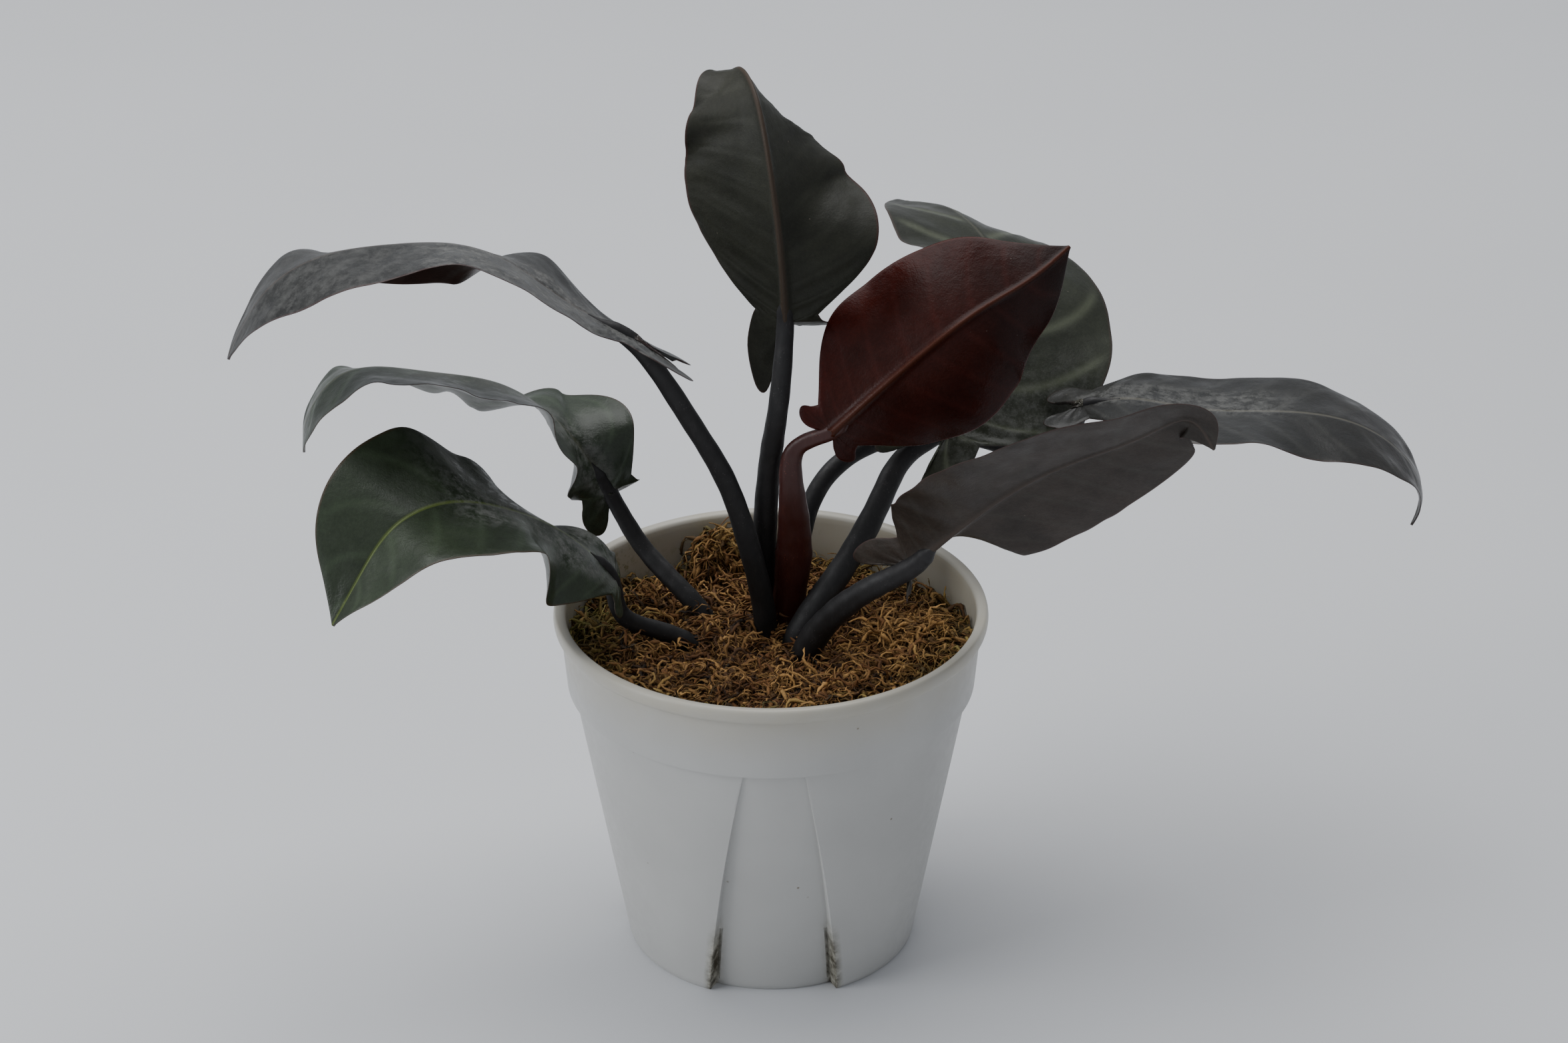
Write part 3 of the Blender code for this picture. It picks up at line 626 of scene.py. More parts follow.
def pot_plastic(white, cream):
    """Satin white plastic, cream at the rim and inside, with specks, algae inside and dirt by the slits."""
    n = Nodes("pot_plastic")
    place = n.place()
    parts = n.separate(place)
    inside = n.attribute("inside")
    aged = n.ramp(parts[2], (0.105, 0.0), (0.127, 0.75))
    aged = n.math("MAXIMUM", aged, inside)
    blotch = n.noise(place, 55, 3)
    aged = n.math("MULTIPLY", aged, n.ramp(blotch, (0.3, 0.55), (0.7, 1.0)))
    colour = n.mix(aged, white, cream)
    cloud = n.ramp(n.noise(place, 22, 2), (0.35, 0.93), (0.65, 1.0))
    colour = n.mix(1.0, colour, cloud, "MULTIPLY")
    dots = n.ramp(n.cells(place, 130), (0.035, 1.0), (0.075, 0.0))
    sparse = n.ramp(n.noise(place, 60, 1), (0.60, 0.0), (0.66, 1.0))
    colour = n.mix(n.math("MULTIPLY", dots, sparse), colour, (0.20, 0.17, 0.12))
    algae = n.ramp(n.noise(place, 420, 3, 0.7), (0.53, 0.0), (0.64, 1.0))
    patch = n.ramp(n.noise(place, 26, 2), (0.44, 0.0), (0.56, 1.0))
    low = n.ramp(parts[2], (0.110, 1.0), (0.127, 0.25))
    algae = n.math("MULTIPLY", n.math("MULTIPLY", algae, patch), n.math("MULTIPLY", inside, low))
    colour = n.mix(algae, colour, (0.18, 0.17, 0.05))
    dirt = n.attribute("dirt")
    grime = n.math("MULTIPLY", dirt, n.ramp(n.noise(place, 160, 4, 0.7), (0.40, 0.0), (0.60, 1.0)))
    colour = n.mix(n.math("MULTIPLY", dirt, 0.30), colour, (0.42, 0.36, 0.16))
    colour = n.mix(grime, colour, (0.045, 0.036, 0.018))
    rough = n.ramp(n.noise(place, 300, 3), (0.3, 0.34), (0.7, 0.50))
    normal = n.bump(n.noise(place, 35, 2), 0.10, 0.002)
    normal = n.bump(n.noise(place, 1400, 2), 0.06, 0.0003, normal)
    return n.finish(colour, rough, normal)


# ---------------------------------------------------------------- moss

# Hills and hollows of the bed: place across and back (mm), height (mm) and reach (mm).
MOSS_HILLS = (
    (-60, -8, 6, 16), (58, -10, 5, 18), (-28, 52, -5, 18), (-20, 57, 12, 7), (30, 48, -2, 20),
    (0, -48, 2, 22), (38, -34, 2.5, 14), (-36, -38, 3, 14), (2, -2, -3, 9), (40, 14, 3, 14), (-44, 24, 1, 12),
    (20, 22, -2, 9), (14, -28, -4, 8), (-20, 15, 3, 8), (-20, -8, 2, 7), (46, -6, 5, 9), (24, -44, 3, 8),
    (-14, -40, 3, 9), (-50, -22, 3, 9), (28, -20, 2, 7), (-30, 34, 3, 9), (0, 42, 4, 10),
)


def moss_height(x, y):
    """Tilted bed + Gaussian hills + three scales of smooth noise."""
    height = MOSS_EDGE_HEIGHT - MOSS_TILT * y / POT_RIM_RADIUS
    for across, back, rise, reach in MOSS_HILLS:
        away = ((x / MM - across) ** 2 + (y / MM - back) ** 2) / reach**2
        height = height + rise * MM * np.exp(-away)
    flat = np.stack([x, y], -1)
    height = height + 0.0020 * waves(flat, 0.016, 11, 2) + 0.0016 * waves(flat, 0.0075, 12, 2)
    return height


def inner_radius(z):
    """The pot's inner wall at height z, less a small clearance."""
    share = np.clip((z - POT_BAND_BOTTOM) / (POT_HEIGHT - POT_BAND_BOTTOM), 0, 1)
    low = POT_BODY_TOP_RADIUS + POT_BAND_STEP - POT_WALL
    return low + (POT_RIM_RADIUS - RIM_WIDTH - low) * share - 0.0005


def make_moss_bed():
    """A closed disc: rings of the bed's height field, then a skirt down the wall and a flat base."""
    turn = np.linspace(0, 2 * np.pi, 200, endpoint=False)
    shares = np.concatenate([[0.004], np.linspace(0.02, 1, 70)])[::-1]
    radius = shares[:, None] * np.ones_like(turn)
    limit = inner_radius(MOSS_EDGE_HEIGHT)
    x = radius * limit * np.cos(turn)
    y = radius * limit * np.sin(turn)
    top = np.stack([x, y, moss_height(x, y) + 0.0006 * waves(np.stack([x, y], -1), 0.0022, 5, 1)], -1)
    skirt_levels = (0.094, 0.100, 0.106)
    skirt_radius = np.full(len(skirt_levels), POT_BODY_TOP_RADIUS - POT_WALL - 0.0008)
    skirt = np.stack([np.outer(skirt_radius, np.cos(turn)), np.outer(skirt_radius, np.sin(turn)),
                      np.outer(skirt_levels, np.ones_like(turn))], -1)
    grid = np.concatenate([skirt, top])
    return make_tube("moss_bed", grid)


STRAND_STEPS = 8
TUFT_STRANDS = 520
MOSS_TUFT = (-20, 54, 4.5)
STRAND_SIDES = 4


def make_strands(name, count, seed, length, width, lift, tuft=None):
    """Curly ribbons: each heads off along the bed, turning and arching at its own rate.

    place(k) = start + the sum of k steps, whose heading turns by a fixed angle and a random wobble and whose
    pitch falls from lift to below level. The section is a flat diamond whose width swells and pinches along the
    ribbon. tuft is (across, back, spread) in mm for a clump, or None for strands all over the bed.
    """
    rng = np.random.default_rng(seed)
    steps = STRAND_STEPS
    if tuft is None:
        radius = np.sqrt(rng.uniform(0, 1, count)) * (inner_radius(MOSS_EDGE_HEIGHT) - 0.0005)
        around = rng.uniform(0, 2 * np.pi, count)
        x, y = radius * np.cos(around), radius * np.sin(around)
    else:
        x = tuft[0] * MM + rng.normal(size=count) * tuft[2] * MM
        y = tuft[1] * MM + rng.normal(size=count) * tuft[2] * MM
    z = moss_height(x, y) + rng.uniform(-0.0012, 0.0006, count)
    size = rng.uniform(*length, count) / steps
    heading = rng.uniform(0, 2 * np.pi, count)
    turn = rng.normal(size=count) * 0.30
    wobble = rng.normal(size=(count, steps)) * 0.42
    pitch = rng.uniform(0.05, 1.0, count) * lift
    fall = rng.uniform(0.10, 0.42, count) * lift
    k = np.arange(steps)
    angles = heading[:, None] + turn[:, None] * k + wobble
    slopes = pitch[:, None] - fall[:, None] * k + 0.25 * rng.normal(size=(count, steps))
    moves = np.stack([np.cos(slopes) * np.cos(angles), np.cos(slopes) * np.sin(angles), np.sin(slopes)], -1)
    line = np.concatenate([np.zeros((count, 1, 3)), np.cumsum(moves * size[:, None, None], axis=1)], axis=1)
    line += np.stack([x, y, z], -1)[:, None, :]
    ground = moss_height(line[..., 0], line[..., 1])
    line[..., 2] = np.maximum(line[..., 2], ground + 0.0002 + 0.0006 * rng.uniform(0, 1, (count, 1)))
    far = np.linalg.norm(line[..., :2], axis=-1)
    limit = inner_radius(line[..., 2]) - 0.0006
    line[..., :2] *= np.minimum(1, limit / np.maximum(far, 1e-6))[..., None]
    along = unit(np.gradient(line, axis=1))
    lean = unit(rng.normal(size=(count, 1, 3)) * 0.7 + np.array([0, 0, 1.0]))
    side = unit(np.cross(along, np.broadcast_to(lean, along.shape)))
    up = np.cross(side, along)
    share = np.linspace(0, 1, steps + 1)
    swell = 0.55 + 0.45 * np.sin(np.pi * share**0.8)
    pinch = 1 + 0.42 * np.sin(share * rng.uniform(14, 26, (count, 1)) + rng.uniform(0, 6, (count, 1)))
    wide = rng.uniform(*width, count)[:, None] * swell * pinch / 2
    thick = wide * 0.38
    grid = np.stack([line + side * wide[..., None], line + up * thick[..., None],
                     line - side * wide[..., None], line - up * thick[..., None]], axis=2)
    per = (steps + 1) * STRAND_SIDES
    firsts = np.arange(count)[:, None, None] * per
    quads = (ring_faces(steps + 1, STRAND_SIDES)[None] + firsts).reshape(-1, 4)
    caps_low = (np.arange(STRAND_SIDES)[::-1] + firsts[:, 0]).reshape(-1, 4)
    caps_high = (np.arange(per - STRAND_SIDES, per) + firsts[:, 0]).reshape(-1, 4)
    clump = 0.5 + 0.5 * waves(np.stack([x, y], -1), 0.016, 31, 2)
    dry = np.exp(-((x - 0.046) ** 2 + (y + 0.006) ** 2) / 0.013**2)
    tone = np.clip(0.55 * rng.uniform(0, 1, count) + 0.45 * clump + 0.30 * dry, 0, 1)
    edge = smooth_step(0.052, 0.068, np.hypot(x, y))
    left = np.exp(-((x + 0.060) ** 2 + (y - 0.004) ** 2) / 0.015**2)
    green = np.clip((0.6 * edge + left) * rng.uniform(0, 1.2, count) * (0.3 + 0.9 * clump), 0, 1)
    # How high each point lies over the bed, which the fibre shader turns into painted shade low down.
    depth = (line[..., 2] - ground) / 0.004
    return make_mesh(name, grid.reshape(-1, 3), np.concatenate([quads, caps_low, caps_high]), (), {
        "tone": np.repeat(tone, per), "green": np.repeat(green, per),
        "height": np.repeat(np.clip(depth, 0, 1).reshape(-1), STRAND_SIDES)})


def moss_fibre(dark, brown, tan, green):
    """Dry sphagnum: brown to straw by strand, with painted shade where it lies deep, yellow-green near the pot's
    wall.
    """
    n = Nodes("moss_fibre")
    place = n.place()
    tone = n.attribute("tone")
    colour = n.ramp(tone, (0.10, dark), (0.40, brown), (0.68, tan), (0.92, tuple(1.5 * c for c in tan)))
    colour = n.mix(n.attribute("green"), colour, green)
    # Painted shade: strands are darkened where they lie low over the bed.
    depth = n.ramp(n.attribute("height"), (0.0, 0.45), (0.7, 1.0))
    colour = n.mix(1.0, colour, depth, "MULTIPLY")
    grain = n.ramp(n.noise(place, 1500, 3, 0.7), (0.3, 0.62), (0.7, 1.15))
    colour = n.mix(1.0, colour, grain, "MULTIPLY")
    normal = n.bump(n.noise(place, 2600, 2), 0.5, 0.0004)
    return n.finish(colour, 0.85, normal)


def moss_ground(dark, brown):
    """The bed under the strands: brown crumbs, with painted shade in the dark hollows between them."""
    n = Nodes("moss_ground")
    place = n.place()
    crumbs = n.noise(place, 320, 5, 0.7)
    # The dark colour in the hollows between crumbs is painted shade under the strands.
    colour = n.mix(n.ramp(crumbs, (0.40, 0.0), (0.62, 1.0)), dark, brown)
    normal = n.bump(n.noise(place, 700, 4, 0.7), 0.9, 0.0015)
    return n.finish(colour, 0.95, normal)


# ---------------------------------------------------------------- stem and stalks


STEM_RINGS = 60
STEM_SIDES = 40
STALK_SIDES = 28
PLAIN_STALK = (1.0, 0.95, 0.9, 0.9, 0.9)


def make_stem():
    """A turned stub: radius r(z) with three shallow leaf-scar rings and a rounded top."""
    centre = (STEM_LOW + STEM_HIGH) / 2
    radius = (STEM_HIGH.x - STEM_LOW.x) / 2
    share = np.linspace(0, 1, STEM_RINGS)
    scars = sum(np.exp(-(((share - place) / 0.03) ** 2)) for place in (0.35, 0.6, 0.82))
    size = radius * (1 - 0.10 * share + 0.07 * scars)
    size = size * np.sqrt(np.clip(1 - smooth_step(0.92, 1.0, share) * 0.9, 0, 1))
    line = np.stack([np.full(STEM_RINGS, centre.x), np.full(STEM_RINGS, centre.y),
                     STEM_LOW.z + (STEM_HIGH.z - STEM_LOW.z) * share], -1)
    grid = tube_grid(line, size, STEM_SIDES, upward=(0, 1, 0))
    grid[..., :2] += 0.0003 * waves(grid, 0.004, 7, 2)[..., None] * unit(grid[..., :2] - line[:, None, :2])
    return make_tube("stem_stub", grid)


# How each stalk departs from a plain rod: its flatness at equal steps, and the depth of its channel.
STALK_SHAPES = {
    "leaf_left_high": (PLAIN_STALK, 0.05),
    "leaf_left_middle": (PLAIN_STALK, 0.12),
    "leaf_left_low": (PLAIN_STALK, 0.12),
    "leaf_upright": ((1.0, 0.95, 0.95, 0.9, 0.9), 0.08),
    "leaf_red": ((0.8, 0.62, 0.60, 0.75, 0.9), 0.16),
    "leaf_back": (PLAIN_STALK, 0.10),
    "leaf_right_far": (PLAIN_STALK, 0.10),
    "leaf_right_front": (PLAIN_STALK, 0.12),
}
# The share of the midrib that a stalk runs on under, and how many points that stretch has.
UNDER_SHARE = 0.10
UNDER_POINTS = 12


def stalk_line(leaf, count):
    """The stalk's spline, carried on under the blade for the first tenth of its midrib."""
    places = np.linspace(0, UNDER_SHARE, UNDER_POINTS)
    midrib = spline(np.array(leaf["midrib"], float) * MM, places)
    face = blend(leaf["face"], places)
    forward = unit(np.gradient(midrib, axis=0))
    face = unit(face - (face * forward).sum(-1, keepdims=True) * forward)
    under = midrib - face * np.linspace(0.0010, 0.0004, UNDER_POINTS)[:, None]
    route = np.vstack([np.array(leaf["stalk"], float)[:-1] * MM, under[[1, 6, 11]]])
    return spline(route, np.linspace(0, 1, count))


def make_stalk(name, leaf):
    """A rod along the stalk's line: radius r(s), squeezed to an oval, with a channel along its upper side."""
    flatness, channel = STALK_SHAPES[name]
    length = np.linalg.norm(np.diff(np.array(leaf["stalk"], float), axis=0), axis=1).sum()
    count = int(60 + length)
    line = stalk_line(leaf, count)
    share = np.linspace(0, 1, count)
    radii = np.interp(share / 0.94, np.linspace(0, 1, len(leaf["radius"])), np.array(leaf["radius"]) * MM)
    radii = radii * (1 - 0.72 * smooth_step(0.90, 1.0, share))
    radii = radii * (1 + 0.015 * np.sin(share * 37 + len(name)) + 0.012 * np.sin(share * 91))
    flat = np.interp(share, np.linspace(0, 1, len(flatness)), flatness)
    groove = channel * smooth_step(0.25, 0.5, share)
    toward = np.array((0.0, 1.0, -0.1) if name == "leaf_upright" else (0.0, -1.0, 0.3))
    grid = tube_grid(line, radii, STALK_SIDES, upward=toward, squeeze=flat, channel=groove)
    uv = np.stack(np.broadcast_arrays(share[:, None], np.linspace(0, 1, STALK_SIDES)[None, :]), -1).reshape(-1, 2)
    attributes = {"share": np.repeat(share, STALK_SIDES)}
    return make_tube(name.replace("leaf", "stalk") + "_skin", grid, attributes, uv)


def stalk_skin(name, low, high, specks, gloss):
    """Smooth stalk skin: colour from foot to blade, short pale streaks and fine specks along it."""
    n = Nodes(name)
    place = n.place()
    share = n.attribute("share")
    colour = n.mix(share, low, high)
    fine = n.stretch(place, (1.0, 1.0, 0.35))
    streak = n.ramp(n.noise(fine, 520, 3, 0.6), (0.56, 0.0), (0.74, 1.0))
    colour = n.mix(n.math("MULTIPLY", streak, 0.55), colour, specks)
    dots = n.ramp(n.cells(place, 900), (0.10, 1.0), (0.22, 0.0))
    sparse = n.ramp(n.noise(place, 150, 2), (0.52, 0.0), (0.60, 1.0))
    dots = n.math("MULTIPLY", n.math("MULTIPLY", dots, sparse), 0.5)
    colour = n.mix(dots, colour, tuple(3.5 * c for c in specks))
    foot = n.ramp(share, (0.0, 1.0), (0.10, 0.0))
    colour = n.mix(n.math("MULTIPLY", foot, 0.5), colour, (0.05, 0.028, 0.02))
    rough = n.ramp(n.noise(place, 240, 3), (0.3, gloss), (0.7, gloss + 0.18))
    normal = n.bump(n.noise(fine, 600, 3), 0.25, 0.0006)
    return n.finish(colour, rough, normal)


# ---------------------------------------------------------------- blades


def blade_points(leaf, along, across):
    """Where outline points lie in space: P(a) + behind * (T cos d - N sin d) + chord * (S cos f + N sin f).

    a is the place along the midrib, b across it in half widths, left negative. T runs along the midrib, N is the
    upper face's direction and S = T x N. f = fold + curl |b| / 2, and d tilts the ears behind the stalk.
    """
    line = spline(np.array(leaf["midrib"], float) * MM, np.linspace(0, 1, 300))
    run = np.concatenate([[0.0], np.cumsum(np.linalg.norm(np.diff(line, axis=0), axis=1))])
    length = run[-1]
    heading = unit(np.gradient(line, run, axis=0))
    reach = np.clip(along, 0, 1) * length
    middle = np.stack([np.interp(reach, run, line[:, axis]) for axis in range(3)], -1)
    forward = unit(np.stack([np.interp(reach, run, heading[:, axis]) for axis in range(3)], -1))
    up = blend(leaf["face"], along)
    up = unit(up - (up * forward).sum(-1, keepdims=True) * forward)
    side = np.cross(forward, up)
    right = across > 0
    width = np.abs(across)
    fold = np.radians(np.where(right, blend(leaf["fold"][1], along), blend(leaf["fold"][0], along)))
    curl = np.radians(np.where(right, blend(leaf["curl"][1], along), blend(leaf["curl"][0], along)))
    droop = np.radians(np.where(right, leaf["ear_droop"][1], leaf["ear_droop"][0]))
    behind = (np.minimum(along, 0) * length * leaf["ear_length"])[..., None]
    middle = middle + behind * (np.cos(droop)[..., None] * forward - np.sin(droop)[..., None] * up)
    angle = fold + curl * width / 2
    chord = width * leaf["half_width"] * MM * np.sinc(curl * width / (2 * np.pi))
    outward = np.where(right, 1.0, -1.0) * chord * np.cos(angle)
    return middle + outward[..., None] * side + (chord * np.sin(angle))[..., None] * up


VEIN_SPREAD = 0.085  # Half width of a side vein, as a share of the gap between two.
RIPPLE_COUNT = 4.3  # Ripples round half of the margin.
MIDRIB_GROOVE = 0.35  # Depth of the groove over the midrib (mm).

# Finish of each leaf. upper, under, rib and rim are the colours of the two faces, the midrib and the margin.
# flush is the colour towards the left edge, and tip the colour at the tip. ripple is the margin's waviness (mm).
# veins is the number of side veins, quilt how far the blade bulges between them, and vein how pale they are.
# shine is the highlight's strength and gloss the roughness. turned says that the underside faces the viewer.
# dust_and_sheen lists grey patches on the upper face, partly real dust and partly a painted sheen of the overhead
# light: from and to along, from and to across, strength.
LOOKS = {
    "leaf_left_high": {
        "upper": (0.022, 0.0225, 0.021), "under": (0.026, 0.01, 0.008), "rib": (0.05, 0.042, 0.036),
        "rim": (0.05, 0.02, 0.018), "flush": (0.022, 0.022, 0.021), "tip": (0.026, 0.026, 0.025),
        "ripple": 0.5, "veins": 9, "quilt": 0.4, "vein": 0.3, "shine": 0.4, "gloss": 0.34, "turned": False,
        "dust_and_sheen": ((-0.3, 0.45, -1, 0.3, 0.75), (0.45, 1, -1, 1, 0.22)),
    },
    "leaf_left_middle": {
        # This leaf's pale underside colour is partly painted bounce light from the floor below.
        "upper": (0.028, 0.038, 0.024), "under": (0.05, 0.055, 0.045), "rib": (0.06, 0.066, 0.04),
        "rim": (0.05, 0.028, 0.018), "flush": (0.028, 0.038, 0.024), "tip": (0.034, 0.04, 0.032),
        "ripple": 0.5, "veins": 9, "quilt": 0.4, "vein": 0.3, "shine": 0.38, "gloss": 0.34, "turned": False,
        "dust_and_sheen": ((0.0, 0.6, -0.4, 0.2, 0.7),),
    },
    "leaf_left_low": {
        "upper": (0.024, 0.034, 0.019), "under": (0.06, 0.056, 0.036), "rib": (0.09, 0.12, 0.028),
        "rim": (0.05, 0.03, 0.016), "flush": (0.024, 0.034, 0.019), "tip": (0.026, 0.036, 0.02),
        "ripple": 0.4, "veins": 9, "quilt": 0.3, "vein": 0.25, "shine": 0.42, "gloss": 0.33, "turned": False,
        "dust_and_sheen": ((0.0, 0.5, -0.4, 0.9, 0.8),),
    },
    "leaf_upright": {
        "upper": (0.02, 0.021, 0.016), "under": (0.017, 0.0175, 0.0115), "rib": (0.045, 0.03, 0.02),
        "rim": (0.05, 0.018, 0.014), "flush": (0.019, 0.019, 0.013), "tip": (0.02, 0.02, 0.014),
        "ripple": 0.45, "veins": 10, "quilt": 0.55, "vein": 0.1, "shine": 0.25, "gloss": 0.5, "turned": True,
        "dust_and_sheen": (),
    },
    "leaf_red": {
        "upper": (0.04, 0.008, 0.006), "under": (0.03, 0.0062, 0.0042), "rib": (0.062, 0.017, 0.009),
        "rim": (0.07, 0.014, 0.01), "flush": (0.052, 0.007, 0.0045), "tip": (0.014, 0.0055, 0.0045),
        "ripple": 0.12, "veins": 9, "quilt": 0.1, "vein": 0.1, "shine": 0.16, "gloss": 0.28, "turned": True,
        "dust_and_sheen": (),
    },
    "leaf_back": {
        "upper": (0.028, 0.031, 0.021), "under": (0.024, 0.023, 0.018), "rib": (0.07, 0.07, 0.05),
        "rim": (0.05, 0.036, 0.028), "flush": (0.022, 0.024, 0.016), "tip": (0.018, 0.019, 0.013),
        "ripple": 0.5, "veins": 7, "quilt": 0.7, "vein": 1.0, "shine": 0.3, "gloss": 0.36, "turned": False,
        "dust_and_sheen": ((0.0, 0.2, -1, 1, 0.35),),
    },
    "leaf_right_far": {
        "upper": (0.017, 0.017, 0.015), "under": (0.022, 0.016, 0.013), "rib": (0.085, 0.08, 0.062),
        "rim": (0.04, 0.024, 0.02), "flush": (0.017, 0.017, 0.015), "tip": (0.02, 0.017, 0.015),
        "ripple": 0.6, "veins": 9, "quilt": 0.4, "vein": 0.35, "shine": 0.32, "gloss": 0.32, "turned": False,
        "dust_and_sheen": ((0.0, 0.45, -0.5, 0.1, 0.55),),
    },
    "leaf_right_front": {
        "upper": (0.022, 0.023, 0.019), "under": (0.034, 0.026, 0.021), "rib": (0.055, 0.04, 0.032),
        "rim": (0.055, 0.03, 0.026), "flush": (0.04, 0.031, 0.026), "tip": (0.03, 0.024, 0.02),
        "ripple": 0.4, "veins": 10, "quilt": 0.35, "vein": 0.15, "shine": 0.28, "gloss": 0.4, "turned": False,
        "dust_and_sheen": (),
    },
}


def around(upper, lower=None):
    """Values over the upper face, then back over the lower one, without the two margins again."""
    lower = upper if lower is None else lower
    return np.concatenate([upper, lower[:, -2:0:-1]], axis=1)


def dust_and_sheen_cover(patches, along, side):
    """How much dust and painted sheen each point has: over each patch, a soft-edged box of its strength, and the
    most of all of them.
    """
    dust_and_sheen = np.zeros(along.shape)
    for low, high, near, far, strength in patches:
        window = smooth_step(low - 0.12, low + 0.02, along) * smooth_step(high + 0.12, high - 0.05, along)
        band = smooth_step(near - 0.2, near + 0.1, side) * smooth_step(far + 0.2, far - 0.1, side)
        dust_and_sheen = np.maximum(dust_and_sheen, window * band * strength)
    return dust_and_sheen


def make_blade(name, leaf, look, sizes):
    """A blade as one closed skin: a mid surface, then upper and lower faces along its normals.

    Side veins are Gaussians of the distance to the nearest whole phase, the quilting between them is a cosine of
    the phase, and the margin's ripple is a sine of the way round the edge plus smooth noise.
    """
    ear = spline(EAR_OUTLINE, np.linspace(0, 1, 34))[:-1]
    main = spline(MAIN_OUTLINE, np.linspace(0, 1, 170))
    edge = np.vstack([ear, main])[1:-1]
    edge[:, 1] = np.maximum(edge[:, 1], 0.0005)
    foot = np.clip(edge[:, 0] - VEIN_SLANT * edge[:, 1], 0, 1)
    half = np.concatenate([[0, 0.012, 0.03, 0.05, 0.075], np.linspace(0.11, 0.94, 15), [0.97, 0.99, 1]])
    side = np.concatenate([-half[:0:-1], half])
    spread = np.abs(side)
    along = foot[:, None] + (edge[:, 0] - foot)[:, None] * spread
    across = edge[:, 1][:, None] * side
    across = np.where(side == 0, 1e-6, across)
    middle = blade_points(leaf, along, across)
    step = np.linalg.norm(np.diff(edge * np.array([1.0, 0.24]), axis=0), axis=1)
    course = np.concatenate([[0], np.cumsum(step)])
    course /= course[-1]
    rank = (side > 0).astype(float)
    phase = course[:, None] * (look["veins"] + 3) + 0.5 * rank - 0.5 * spread**2
    beside = np.abs(phase - np.round(phase))
    vein = np.exp(-((beside / VEIN_SPREAD) ** 2))
    vein = vein * smooth_step(0.02, 0.12, spread) * smooth_step(1.0, 0.80, spread)
    body = smooth_step(0.0, 0.3, spread) * smooth_step(1.02, 0.7, spread)
    seed = len(name) * 7 + int(leaf["half_width"]) + look["veins"]
    flat = np.stack([along * 4.0, side * 1.2 + 0 * along], -1)
    ripple = look["ripple"] * MM * spread**2 * (
        np.sin(course[:, None] * 2 * np.pi * RIPPLE_COUNT + 2.2 * rank + seed) + 0.9 * waves(flat, 1.1, seed, 2)
    )
    body = body * smooth_step(1, 0.8, foot)[:, None]
    quilt = 0.5 * sizes.quilt * look["quilt"] * np.cos(2 * np.pi * phase) * body
    swell = 0.6 * look["quilt"] * MM * waves(flat, 0.8, seed + 1, 3) * spread
    end = smooth_step(0.0, 0.06, course)[:, None] * smooth_step(1.0, 0.93, course)[:, None]
    normal = grid_normals(middle)
    relief = (ripple + quilt + swell - sizes.vein_depth * look["quilt"] * vein) * end
    middle = middle + normal * relief[..., None]
    normal = grid_normals(middle) * (-1 if look["turned"] else 1)
    aside = np.abs(across) * leaf["half_width"]
    slim = 1 - 0.8 * np.clip(foot, 0, 1)[:, None] ** 0.8
    rib_reach = sizes.rib_width / MM * 0.5 * (0.35 + 0.65 * slim)
    rib = np.exp(-((aside / rib_reach) ** 2))
    skin = sizes.thickness / 2 * np.sqrt(np.clip(1 - spread**10, 0, 1))
    upper = middle + normal * (skin - MIDRIB_GROOVE * MM * rib * slim)[..., None]
    lower = middle - normal * (skin + sizes.rib_height * rib * slim)[..., None]
    sideways = 0.5 + 0.5 * side + 0 * along
    values = {
        "upper": around(np.ones(across.shape), np.zeros(across.shape)),
        "rim": around(spread + 0 * along),
        "vein": around(vein),
        "rib": around(rib),
        "dust_and_sheen": around(dust_and_sheen_cover(look["dust_and_sheen"], along, side + 0 * along), 0 * along),
        "run": around(along),
        "side": around(sideways),
    }
    uv = np.stack([around(course[:, None] + 0 * along), around(sideways)], -1).reshape(-1, 2)
    return make_tube(name.replace("leaf", "blade"), around(upper, lower), values, uv)


def grid_normals(grid):
    """Unit normals of a grid, across x along; a point whose row has no length takes its neighbours' mean."""
    rows = np.gradient(grid, axis=0)
    columns = np.gradient(grid, axis=1)
    normal = np.cross(columns, rows)
    size = np.linalg.norm(normal, axis=-1, keepdims=True)
    normal = normal / np.maximum(size, 1e-12)
    centre = grid.shape[1] // 2
    for reach in (2, 1, 0):
        for column in {centre - reach, centre + reach}:
            left = normal[:, centre - 3]
            right = normal[:, centre + 3]
            share = 0.5 + (column - centre) / 6
            normal[:, column] = unit(left * (1 - share) + right * share)
    return normal


